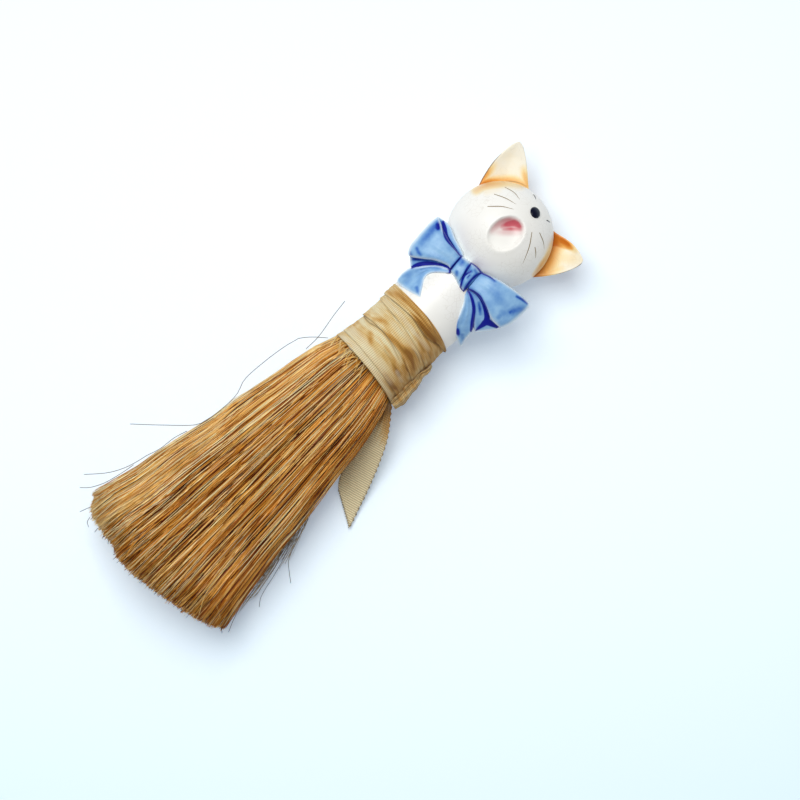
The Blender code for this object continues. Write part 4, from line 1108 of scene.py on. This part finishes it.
def fan_half_depth(along):
    """Half thickness of the brush, and the height of its middle, at a distance from the tips."""
    share = along / FIBRE_LENGTH
    middle = np.interp(share, MIDDLE_SHARES, MIDDLE_HEIGHTS) * MM
    return np.interp(share, DEPTH_SHARES, HALF_DEPTHS) * MM, middle


def fan_top(x, y):
    """Height over the table of the top of the brush at a place."""
    along = y - TIPS
    half, middle = fan_half_depth(along)
    spread = min(abs(x - AXIS.x) / float(fan_half_width(along, x - AXIS.x)), 1.0)
    return float(middle + half * (1 - spread ** 2.27) ** 0.44)


def trim(across):
    """How far the tips stand back at a place across the brush."""
    return np.interp(across, ACROSS_SHARES, TRIM_PIXELS) * PIXEL


def draw(random, low=0, high=1):
    """One even random number for each fibre."""
    return random.uniform(low, high, FIBRE_COUNT)


def fibre_ends(random):
    """Places of each fibre in the bound butt and at the tips, as shares of the half sizes
    there, its angle round the bundle and the number of its clump."""
    radius = np.sqrt(draw(random))
    radius = np.where(draw(random) < SHALLOW, 1 - (1 - radius) * 0.35, radius)
    angle = draw(random, 0, FULL_TURN)
    start = np.stack([np.cos(angle), np.sin(angle)], axis=1)
    start = np.sign(start) * np.abs(start) ** 0.88 * radius[:, None]
    clumps = random.uniform(-1, 1, (CLUMPS, 2))
    nearest = np.argmin(np.linalg.norm(start[:, None] - clumps[None], axis=2), axis=1)
    pull = (clumps[nearest] - start) * draw(random, 0, CLUMP_PULL)[:, None]
    end = start + pull + random.normal(0, END_SCATTER, (FIBRE_COUNT, 2))
    crossing = draw(random) < CROSSING
    end += np.where(crossing[:, None], random.normal(0, CROSSING_SCATTER, (FIBRE_COUNT, 2)), 0.0)
    end /= np.maximum(np.linalg.norm(end, axis=1) / 1.03, 1.0)[:, None]
    return start, end, angle, nearest


def fibre_tones(random, end, nearest):
    """Tint of each fibre, paler to the left and a little darker to the right as painted light and shade,
    and how reddish it is.
    """
    clump_tone = random.uniform(0, 1, CLUMPS)[nearest]
    tint = 0.5 + random.normal(0, 0.2, FIBRE_COUNT) + (clump_tone - 0.5) * 0.1
    # Painted light and shade: strands on the left are paler and those on the right a little darker
    tint += 0.3 * ease((-end[:, 0] - 0.3) / 0.6) - 0.04 * ease((end[:, 0] - 0.1) / 0.6)
    fate = draw(random)
    tint = np.where(fate < DARK_BELOW, tint - DARKER, np.where(fate > PALE_ABOVE, tint + PALER, tint))
    return np.clip(tint, 0, 1), np.clip(random.normal(-0.12, 0.26, FIBRE_COUNT), 0, 0.5)


def fibre_paths(random, start, end):
    """Points along each fibre from the winding to its trimmed tip."""
    tips = trim(end[:, 0])
    tips += random.exponential(TIP_SPREAD, FIBRE_COUNT) + random.normal(*TIP_SHIFT, FIBRE_COUNT)
    long = draw(random) < LONG
    tips -= np.where(long, draw(random, *LONG_BY) * MM, 0.0)
    short = draw(random) < SHORT
    tips = np.where(short, tips + draw(random, *SHORT_BY) * MM, tips)
    steps = np.linspace(0, 1, FIBRE_STEPS)
    root = FIBRE_LENGTH + ROOT_IN_WINDING
    along = root + (tips - root)[:, None] * steps[None]
    bend = draw(random, 0.9, 1.9)
    place = start[:, None] + (end - start)[:, None] * (steps[None] ** bend[:, None])[:, :, None]
    half_depth, middle = fan_half_depth(along)
    x = AXIS.x + place[:, :, 0] * fan_half_width(along, place[:, :, 0])
    z = middle + place[:, :, 1] * half_depth
    for target in (x, z):
        amplitude = np.minimum(random.exponential(0.9, FIBRE_COUNT), 2.0)[:, None] * WAVE_OF_FIBRE
        phase = draw(random, 0, FULL_TURN)[:, None]
        waves = draw(random, 0.6, 2.2)[:, None]
        target += amplitude * np.sin(FULL_TURN * waves * steps[None] + phase) * ease(steps * 4)[None]
    z = np.maximum(z, FIBRE_RADIUS)
    nearer = 1 - np.maximum(z - AXIS.z, 0.0) / CAMERA_DISTANCE
    x = CAMERA_X + (x - CAMERA_X) * nearer
    y = CAMERA_Y + (TIPS + along - CAMERA_Y) * nearer
    return np.stack([x, y, z], axis=2)


def make_fibres():
    """Thousands of seeded strands in the nine wedges that the brush is packed in."""
    random = np.random.default_rng(FIBRE_SEED)
    start, end, angle, nearest = fibre_ends(random)
    tint, warm = fibre_tones(random, end, nearest)
    paths = fibre_paths(random, start, end)
    material = fibre_material()
    wedge = np.floor((angle + math.pi / WEDGES - math.pi / 2) / (FULL_TURN / WEDGES)).astype(int) % WEDGES
    thick = FIBRE_RADIUS * draw(random, 0.6, 1.25)
    for index in range(WEDGES):
        chosen = wedge == index
        make_strands(f"fibres_{index + 1}", paths[chosen], thick[chosen], tint[chosen], material,
                     warm[chosen], f"bristles_{index + 1}")
    make_stubs(random, material)
    make_loose_strands(random, material)
    make_low_strands(random)


def make_strands(name, paths, thick, tint, material, warm=0.0, node=None):
    """Three-sided tapering strands along paths, in one mesh."""
    count, steps = paths.shape[:2]
    taper = np.interp(np.linspace(0, 1, steps), TAPER_SHARES, TAPERS)
    corners = []
    for side in range(3):
        angle = FULL_TURN * side / 3 + math.pi / 2
        offset = np.zeros_like(paths)
        offset[:, :, 0] = math.cos(angle) * thick[:, None] * taper
        offset[:, :, 2] = math.sin(angle) * thick[:, None] * taper
        corners.append(paths + offset)
    vertices = np.stack(corners, axis=2).reshape(-1, 3)
    base = (np.arange(count) * steps * 3)[:, None, None]
    row = (np.arange(steps - 1) * 3)[None, :, None]
    side = np.arange(3)[None, None, :]
    follow = (side + 1) % 3
    quads = np.stack([base + row + side, base + row + follow,
                      base + row + 3 + follow, base + row + 3 + side], axis=-1).reshape(-1, 4)
    first = base[:, 0, 0]
    caps = np.concatenate([np.stack([first, first + 2, first + 1], axis=1),
                           np.stack([first, first + 1, first + 2], axis=1) + (steps - 1) * 3])
    strands = put_smooth(mesh_from_arrays(name, vertices, quads, caps), material)
    set_mask(strands, "tint", np.repeat(tint, steps * 3))
    set_mask(strands, "warm", np.repeat(tint * 0 + warm, steps * 3))
    fit(strands, node)


def mesh_from_arrays(name, vertices, quads, triangles):
    """Mesh of many faces, filled straight from arrays."""
    mesh = bpy.data.meshes.new(name)
    mesh.vertices.add(len(vertices))
    mesh.vertices.foreach_set("co", vertices.ravel())
    corners = np.concatenate([quads.ravel(), triangles.ravel()]).astype(np.int32)
    mesh.loops.add(len(corners))
    mesh.loops.foreach_set("vertex_index", corners)
    starts = np.concatenate([np.arange(len(quads)) * 4, len(quads) * 4 + np.arange(len(triangles)) * 3])
    mesh.polygons.add(len(starts))
    mesh.polygons.foreach_set("loop_start", starts.astype(np.int32))
    mesh.update(calc_edges=True)
    return mesh


def make_stubs(random, material):
    """Short pale ends of fibre that stand out in front of the winding."""
    line = curve_through(STUB_PIXELS, STUB_COUNT)
    line += random.normal(0, 2.0, (STUB_COUNT, 2))
    heading = math.pi / 2 + AXIS_TURN + random.normal(0, 0.3, STUB_COUNT)
    length = random.uniform(*STUB_LENGTHS, STUB_COUNT)
    curl = random.normal(0, 0.5, STUB_COUNT)
    lines = [curve_through(pixels, FIBRE_STEPS) for pixels in BENT_ENDS]
    for index in range(STUB_COUNT):
        turns = heading[index] + curl[index] * np.linspace(0, 1, FIBRE_STEPS)
        strides = np.stack([np.cos(turns), np.sin(turns)], axis=1) * length[index] / FIBRE_STEPS
        lines.append(line[index] + np.cumsum(strides, axis=0))
    paths = np.zeros((len(lines), FIBRE_STEPS, 3))
    for index, pixels in enumerate(lines):
        for step, pixel in enumerate(pixels):
            share = step / (FIBRE_STEPS - 1)
            across = on_axis_plane(*pixel)[0] - AXIS.x
            round_off = math.sqrt(max(1 - (across / WAIST_RADIUS) ** 2, 0.05))
            paths[index, step] = seen_at(pixel, AXIS.z + (STUB_RISE * round_off + 0.5 - 0.8 * share) * MM)
    thick = FIBRE_RADIUS * random.uniform(0.6, 1.0, len(lines))
    thick[:len(BENT_ENDS)] = FIBRE_RADIUS * BENT_END_THICKNESS
    make_strands("fibre_stubs", paths, thick, random.uniform(0.6, 1.0, len(lines)), material)


def make_loose_strands(random, material):
    """Strands that lie at a slant on top of the others."""
    lines = []
    for pixels in LOOSE_PIXELS:
        lines.append([seen_at(pixel, fan_top(*on_axis_plane(*pixel)) + 0.2 * MM)
                      for pixel in curve_through(pixels, FIBRE_STEPS)])
    for _ in range(LOOSE_COUNT):
        first = random.uniform(-0.8, 0.86)
        last = first + random.normal(0, 0.09)
        low = random.uniform(*LOOSE_STARTS) * MM + trim(first)
        length = min(random.uniform(*LOOSE_LENGTHS) * MM, FIBRE_LENGTH - LOOSE_END_GAP - low)
        line = []
        for share in np.linspace(0, 1, FIBRE_STEPS):
            along = low + length * share
            x = AXIS.x + float(fan_half_width(along, first)) * mix(first, last, share)
            line.append((x, TIPS + along, fan_top(x, TIPS + along) - (0.1 + 0.7 * share) * MM))
        lines.append(line)
    paths = np.array([[tuple(point) for point in line] for line in lines])
    thick = FIBRE_RADIUS * random.uniform(0.75, 1.1, len(lines))
    make_strands("loose_strands", paths, thick, random.uniform(0.52, 0.84, len(lines)), material)


def make_low_strands(random):
    """Strands under the right edge, coloured in painted shade, that spread a little wider than those on
    top.
    """
    steps = np.linspace(0, 1, FIBRE_STEPS)
    paths = []
    for pixels in LOW_PIXELS:
        for _ in range(LOW_COPIES):
            drift = steps[:, None] * random.normal(0, 3.2, 2)[None]
            line = curve_through(pixels, FIBRE_STEPS) + random.normal(0, 1.9, 2)[None] + drift
            paths.append([tuple(seen_at(pixel, mix(*LOW_HEIGHTS, share) * MM))
                          for pixel, share in zip(line, steps)])
    thick = FIBRE_RADIUS * random.uniform(0.35, 0.75, len(paths))
    tint = random.uniform(0.0, 1.0, len(paths))
    make_strands("low_strands", np.array(paths), thick, tint, shaded_fibre_material())


def make_stray_hairs():
    """Fine grey-brown hairs that have come loose from the bundle."""
    material = hair_material()
    for index, pixels in enumerate(STRAY_HAIRS):
        line = curve_through(pixels, 40)
        heights = np.linspace(*HAIR_HEIGHTS, len(line)) * MM
        points = [seen_at(pixel, float(height)) for pixel, height in zip(line, heights)]
        fit(put_line(f"stray_hair_{index + 1}", points, HAIR_RADIUS, 1, material))


# Ribbon

RIBBON_WIDTH = 10.0 * MM
RIBBON_THICKNESS = 0.3 * MM
WRAP_RADIUS = 13.4 * MM
LAYER_STEP = 0.5 * MM
WRAP_FLARE = 1.0 * MM
FLARE_REACH = 4 * MM
EDGE_WAVE = 0.12 * MM
PLEAT_DEPTH = 0.055 * MM
WRAP_TILT = (0.55 * MM, 0.2 * MM)
LAST_TURN = 3.75
STEPS_PER_TURN = 128
# Places of the wound ribbon at each quarter turn, from the back of the neck to its
# right side, front and left side: its lower and upper edge from the start of the
# winding, in millimetres
WRAP_QUARTERS = (
    (1.0, 9.6),
    (-1.4, 8.4), (1.3, 11.0), (1.4, 10.8), (1.6, 10.8),
    (1.2, 10.2), (3.6, 12.8), (4.1, 13.0), (5.2, 14.0),
    (7.4, 16.6), (12.2, 21.4), (12.0, 21.2), (13.0, 22.0),
    (13.8, 23.4), (17.9, 26.2), (19.5, 24.6), (20.5, 24.4),
    (22.4, 23.2), (22.3, 26.0), (21.5, 25.9), (21.8, 24.8),
)
# Marks on the wound ribbon: pixels of each stroke, with widths for the lines of painted shade
# along its laps, creases and top edge, or a radius and strengths for the soft ones
RIBBON_SHADE_LINES = (
    (((391.2, 299.6), (401.4, 307.8), (411.6, 317), (418.8, 327.1), (425, 336.3), (432, 341.6),
     (439.5, 345.5)), (0.4, 0.7, 1, 1.6, 2.2, 2.2, 1.2)),
    (((362.8, 314.6), (368.8, 322.2), (381, 329.6), (388.2, 338.5), (395.3, 351.6), (400, 362.5)),
     (1, 1.2, 1.1, 0.8, 0.6, 0.2)),
    (((411.6, 349), (416, 353), (419.8, 361.8)), (0.6, 0.9, 0.6)),
    (((384.5, 350), (391, 359.5)), (0.5, 0.4)),
    (((386.5, 309), (394, 316), (399, 323)), (0.3, 0.7, 0.2)),
    (((427.5, 352), (430.5, 358.5)), (0.8, 0.6)),
    (((411.5, 295), (421.4, 308), (429.6, 321), (436, 333.4)), (0.3, 0.8, 1, 0.6)),
)
RIBBON_STAINS = (
    (((392.5, 292), (402, 297), (412, 305.5), (422, 317.5), (429.5, 329), (437, 339)),
     10, (0.42, 0.54, 0.52, 0.54, 0.58, 0.46)),
    # A darker brown crescent just above the upper lap line at the right
    (((411, 312.5), (416.5, 318.5), (422.5, 326), (429, 334), (435.5, 341.5)),
     5, (0.3, 0.72, 1, 1.05, 0.6)),
    (((385.5, 331), (394, 340), (402.5, 348.5), (409.5, 356), (413.5, 366.5)),
     7.5, (0.2, 0.42, 0.62, 0.8, 0.4)),
    (((405, 351.5), (409, 355)), 4, (0.8, 0.9)),
    (((416, 338), (420, 343), (424, 350)), 5, (0.35, 0.5, 0.3)),
    (((399, 346), (404, 360), (407, 371)), 3, (0.3, 0.45, 0.4)),
    (((370.2, 333.5), (371, 338.5), (370.5, 344)), 4.5, (0.35, 0.42, 0.2)),
    (((350, 328), (357, 320.5)), 5, (0.22, 0.2)),
    (((374, 318.5), (383, 321), (390.5, 331)), 3.5, (0.3, 0.3, 0.3)),
    (((386, 347), (393, 360), (399, 374)), 4.5, (0.25, 0.45, 0.5)),
    (((403, 366), (408, 375)), 3, (0.35, 0.2)),
    (((417, 333), (420, 340)), 3, (0.3, 0.4)),
    (((378, 366), (387, 377), (394, 388)), 5, (0.1, 0.4, 0.35)),
)
RIBBON_BLEACH = (
    (((385, 301), (397, 311), (407, 324), (417.5, 336), (428, 349)), 4, (0.35, 0.5, 0.55, 0.55, 0.4)),
    (((343, 337.5), (356.5, 348.5), (370.5, 366), (384, 386), (391, 397)),
     4.5, (0.75, 0.8, 0.75, 0.55, 0.3)),
    (((352, 331), (363, 341), (369, 352), (380, 366), (389, 382)), 7, (0.7, 0.35, 0.45, 0.5, 0.35)),
    (((397, 372), (401.5, 381)), 3.5, (0.5, 0.4)),
    (((392, 322), (402, 333), (411, 344), (420, 356)), 3.5, (0.25, 0.35, 0.3, 0.2)),
)
SHADE_LINE_STRENGTH = 0.62
# Stain over the winding and on its back, and the brown of the painted shade on its right side
BASE_STAIN, BACK_STAIN, SIDE_SHADE_BROWN = 0.2, 0.25, 0.32
BACK_BLEACH = 0.15
SIDE_SHADE = 0.16
FOLD_INNER_PIXELS = ((431, 363.6), (425, 367), (418, 371.2), (410.4, 377.6), (403.4, 384.6), (397.6, 391),
                     (389.6, 400.5))
FOLD_OUTER_PIXELS = ((432.2, 366.2), (429.8, 371.6), (424.2, 377.4), (419, 385.4), (412.6, 393.6),
                     (405.4, 402.8), (395.4, 409.6))
# Heights in the folded end, in millimetres over the axis
FOLD_RISE, FOLD_ARCH, FOLD_PLEAT, FOLD_CRUMPLE = 1.2, 3.0, 0.45, 0.3
FOLD_UV_SIZE = (5 * MM, 17 * MM)
# Brown over the whole folded end: partly stain, partly painted shade
FOLD_STAIN_AND_SHADE = 0.42
TAIL_RIGHT_PIXELS = ((392.4, 400.5), (391.2, 413), (389, 431.7), (385.6, 446.5), (378.9, 465.2),
                     (372.2, 481.3), (365.5, 496), (358.8, 509.4), (352, 523.4), (349, 528.3))
TAIL_LEFT_PIXELS = ((382.4, 391.5), (383.4, 404.5), (376.5, 420.5), (366.5, 434.5), (359.5, 445.5),
                    (353, 454.5), (347, 463.5), (341.5, 472.5), (338.6, 481.5), (338.2, 489.6))
TAIL_HEIGHTS = (15.4, 1.8)
TAIL_PINCH_RISE = 7.5 * MM
# The ribs of the loose end lie square to this way on the picture
RIB_WAY = (-0.5, 0.87)
TOOTH_TURN = 0.72


def paint_ribbon(piece, shade):
    """Store the lines of painted shade, the stains and the bleached streaks of the winding, and darken its
    right side with painted shade.
    """
    places = vertex_array(piece)
    pixels = to_pixels(places)
    front = places[:, 2] > AXIS.z - 3 * MM
    # Lines of painted shade along the laps, creases and top edge
    lines = np.where(front, ink_mask(pixels, RIBBON_SHADE_LINES), 0.0) * SHADE_LINE_STRENGTH
    # Painted shade: the right side of the winding is darker and browner
    side = ease(((places[:, 0] - AXIS.x) / WRAP_RADIUS - 0.25) / 0.7)
    set_mask(piece, "shade", np.maximum(shade, lines) * (1 - SIDE_SHADE * side) + SIDE_SHADE * side)
    stains = np.where(front, spray_mask(pixels, RIBBON_STAINS), BACK_STAIN)
    set_mask(piece, "stain", BASE_STAIN + stains + SIDE_SHADE_BROWN * side)
    set_mask(piece, "bleach", np.where(front, spray_mask(pixels, RIBBON_BLEACH), BACK_BLEACH))


def wrap_place(row, turn, across):
    """Point on the outside of the wound ribbon: its angle, place along and radius."""
    low, high = (WRAP_START + float(value) * MM for value in row)
    angle = FULL_TURN * turn
    along = mix(low, high, across) + EDGE_WAVE * math.sin(angle * 3.1 + across * 2)
    last = ease((turn - LAST_TURN) / 0.25)
    layers = min(turn + 0.25, 1.0) - 1 + 0.6 * last
    tilt = mix(*WRAP_TILT, last) * across
    pleat = math.sin(across * 17 + angle * 1.7) + 0.6 * math.sin(across * 31 - angle * 2.3)
    flare = WRAP_FLARE * math.exp(-max(along - WRAP_START, 0.0) / FLARE_REACH)
    return angle, along, WRAP_RADIUS + LAYER_STEP * layers - tilt + flare + PLEAT_DEPTH * pleat


def make_wrap(material):
    """Ribbon wound round the neck in lapped turns."""
    turns = (len(WRAP_QUARTERS) - 1) / 4
    steps, columns = int(turns * STEPS_PER_TURN) + 1, 41
    edges = [through(WRAP_QUARTERS, 4 * step / STEPS_PER_TURN) for step in range(steps)]

    def place_at(step, column):
        across = column / (columns - 1)
        angle, along, radius = wrap_place(edges[step], step / STEPS_PER_TURN - 0.25, across)
        top, bottom = ((AXIS.x + lean(along) + reach * math.cos(angle), along,
                        AXIS.z + reach * math.sin(angle)) for reach in (radius, radius - RIBBON_THICKNESS))
        return top, bottom, (angle * WRAP_RADIUS, across * RIBBON_WIDTH), 0.4 * hump(across, 0, 0.02)

    wrap, (uvs, shade) = slab("ribbon_winding", steps, columns, place_at, material)
    set_uv(wrap, uvs)
    paint_ribbon(wrap, shade)
    fit(wrap, "ribbon_wrap")


def make_fold(material):
    """Folded end of the ribbon along the side of the winding: pleats side by side."""
    rows, columns = 140, 41
    inner = curve_through(FOLD_INNER_PIXELS, rows)
    outer = curve_through(FOLD_OUTER_PIXELS, rows)

    def place_at(row, column):
        share, place = row / (rows - 1), column / (columns - 1)
        ragged = 0.5 * math.sin(share * 17) + 0.3 * math.sin(share * 39 + 1) + 0.15 * math.sin(share * 83)
        crumple = math.sin(share * 23 + place * 4) + 0.7 * math.sin(share * 41 - place * 6 + 2)
        pleat = math.cos(place * 14 + share * 4 + 0.5 * crumple)
        arch = 1 - abs(2 * place - 1) ** 3
        height = AXIS.z + (FOLD_RISE + FOLD_ARCH * arch + FOLD_PLEAT * pleat + FOLD_CRUMPLE * crumple) * MM
        point = seen_at(mix(inner[row], outer[row], place) + 0.5 * ragged * place, height)
        uv = (place * FOLD_UV_SIZE[0], share * FOLD_UV_SIZE[1])
        shade = min(0.1 + 0.14 * (1 - pleat) + 0.3 * hump(place, 0.3, 0.1), 1.0)
        return point, point - UP * (0.5 + 2.8 * arch) * MM, uv, shade

    fold, (uvs, shade) = slab("ribbon_pleats", rows, columns, place_at, material)
    set_uv(fold, uvs)
    set_mask(fold, "shade", shade)
    set_mask(fold, "stain", shade * 0 + FOLD_STAIN_AND_SHADE)
    set_mask(fold, "bleach", shade * 0)
    fit(fold, "ribbon_fold")


def make_tail(material):
    """Loose end of the ribbon, down from the pinched neck and out on the table."""
    rows, columns = 200, 57
    right = curve_through(TAIL_RIGHT_PIXELS, rows)
    left = curve_through(TAIL_LEFT_PIXELS, rows)

    def place_at(row, column):
        share, across = row / (rows - 1), column / (columns - 1)
        drop = ease(share / 0.95)
        crumple = (1 - ease(share / 0.35)) * math.cos(across * 16.0 + share * 8)
        height = mix(*TAIL_HEIGHTS, drop) * MM + 0.5 * MM * crumple
        height += TAIL_PINCH_RISE * across * (1 - ease(share / 0.16))
        height += 0.35 * MM * math.sin(share * 7 + across * 2.5) * (1 - drop) + 0.18 * MM * across
        pixel = mix(right[row], left[row], across)
        tooth = 0.5 * math.sin(row * TOOTH_TURN) * (across < 0.04)
        notch = 0.6 * math.sin(column * 1.9) * (share > 0.985)
        point = seen_at(pixel + np.array([tooth - notch, notch]), height)
        uv = (float(pixel @ np.array(RIB_WAY)) * PIXEL, across * RIBBON_WIDTH)
        selvedge = hump(min(across, 1 - across), 0, 0.05)
        cut = ease((share - 0.97) / 0.03)
        edge = max(selvedge * (0.45 + 0.45 * math.sin(row * TOOTH_TURN)), 0.55 * cut)
        # Darker and browner towards the pinched top: partly stain, partly painted shade in the crumples and
        # beside the brush
        aged = 1 - ease(share / 0.5)
        shade = min(max(edge, 0.3 * aged * (1 + 0.6 * crumple)), 1.0)
        return point, point - UP * RIBBON_THICKNESS, uv, shade, 1.2 * aged - 0.2

    tail, (uvs, shade, stain) = slab("ribbon_loose_end", rows, columns, place_at, material)
    set_uv(tail, uvs)
    set_mask(tail, "shade", np.clip(shade, 0, 1))
    set_mask(tail, "stain", stain)
    set_mask(tail, "bleach", shade * 0 + 0.1)
    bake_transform(tail)
    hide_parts("ribbon_tail")


# Camera, floor and light

FLOOR_SIZE = 3.0
# Painted pool of light on the floor: the pixel at its middle and its size in metres
FLOOR_GLOW_PIXELS = (360, 300)
FLOOR_GLOW_SIZE = (0.36, 0.2)
FLOOR_LIT = (0.9, 0.9, 0.9)
FLOOR_SHOWN_NEAR = (0.87, 0.955, 1.0)
FLOOR_SHOWN_FAR = (0.7, 0.865, 0.93)
SHADOWLESS_COLOUR = (0.62, 0.8, 1.1)
SHADOWLESS_SHARE = 0.22
KEY_PLACE = (-0.23, 0.47, 1.31)
KEY_SIZE = 0.9
KEY_POWER = 15.6
KEY_COLOUR = (1.0, 0.985, 0.965)
SKY_COLOUR = (0.95, 0.98, 1.0, 1.0)
SKY_STRENGTH = 0.34


def make_floor():
    """Pale floor that runs out of the frame, slightly bluish as the camera saw it, with a painted pool of
    light that fades away from a point in the picture.
    """
    nodes = Nodes("pale_floor")
    rays = nodes.add("ShaderNodeLightPath").outputs
    seen = nodes.sum("MAXIMUM", rays["Is Camera Ray"],
                     nodes.sum("MAXIMUM", rays["Is Glossy Ray"], rays["Is Transmission Ray"]))
    turned = nodes.add("ShaderNodeMapping", Vector=nodes.place(), Rotation=(0, 0, -CAMERA_ROLL))
    scale = (1 / FLOOR_GLOW_SIZE[0], 1 / FLOOR_GLOW_SIZE[1], 0.0)
    centre = seen_at(FLOOR_GLOW_PIXELS, 0.0)
    centre.rotate(Matrix.Rotation(-CAMERA_ROLL, 3, "Z"))
    fade = nodes.add("ShaderNodeMapping", Vector=turned.outputs["Vector"], Scale=scale,
                     Location=[-place * size for place, size in zip(centre, scale)])
    far = nodes.add("ShaderNodeVectorMath", {"operation": "LENGTH"}, Vector=fade.outputs["Vector"])
    # Painted pool of light: brighter near its middle and darker away from it
    fall = nodes.sum("POWER", far.outputs["Value"], 2.0)
    shown = nodes.blend(fall, FLOOR_SHOWN_NEAR, FLOOR_SHOWN_FAR)
    bm = bmesh.new()
    bmesh.ops.create_grid(bm, x_segments=1, y_segments=1, size=FLOOR_SIZE)
    mesh = mesh_of("floor", bm)
    mesh.materials.append(nodes.finish(
        nodes.blend(seen, FLOOR_LIT, shown), Roughness=0.9, Specular_IOR_Level=0.0,
        Emission_Color=SHADOWLESS_COLOUR, Emission_Strength=nodes.sum("MULTIPLY", seen, SHADOWLESS_SHARE)))
    put("floor", mesh)


def make_stage():
    """Floor, soft daylight from the picture's upper left, and the camera overhead."""
    make_floor()
    world = bpy.context.scene.world or bpy.data.worlds.new("world")
    bpy.context.scene.world = world
    world.use_nodes = True
    background = world.node_tree.nodes["Background"]
    background.inputs["Color"].default_value = SKY_COLOUR
    background.inputs["Strength"].default_value = SKY_STRENGTH
    centre = Vector((CAMERA_X, CAMERA_Y, AXIS.z))
    lamp = bpy.data.lights.new("window", "AREA")
    lamp.size = KEY_SIZE
    lamp.energy = KEY_POWER
    lamp.color = KEY_COLOUR
    key = put("window", lamp)
    offset = Matrix.Rotation(CAMERA_ROLL, 3, "Z") @ Vector(KEY_PLACE)
    key.location = centre + offset
    key.rotation_euler = offset.to_track_quat("Z", "Y").to_euler()
    lens = bpy.data.cameras.new("camera")
    lens.sensor_width = SENSOR
    lens.lens = SENSOR * CAMERA_DISTANCE / (FRAME_PIXELS * PIXEL)
    camera = put("camera", lens)
    camera.location = centre + UP * CAMERA_DISTANCE
    camera.rotation_euler = (0, 0, CAMERA_ROLL)
    bpy.context.scene.camera = camera
    bpy.context.scene.view_settings.view_transform = "Standard"


make_figure()
make_nose()
make_face_lines()
for ear in EARS:
    make_ear(ear)
for strip, facts in BOW_STRIPS.items():
    make_bow_strip(strip, facts)
make_bow_knot()
make_fibres()
make_stray_hairs()
cloth = cloth_material()
make_wrap(cloth)
make_fold(cloth)
make_tail(cloth)
make_stage()
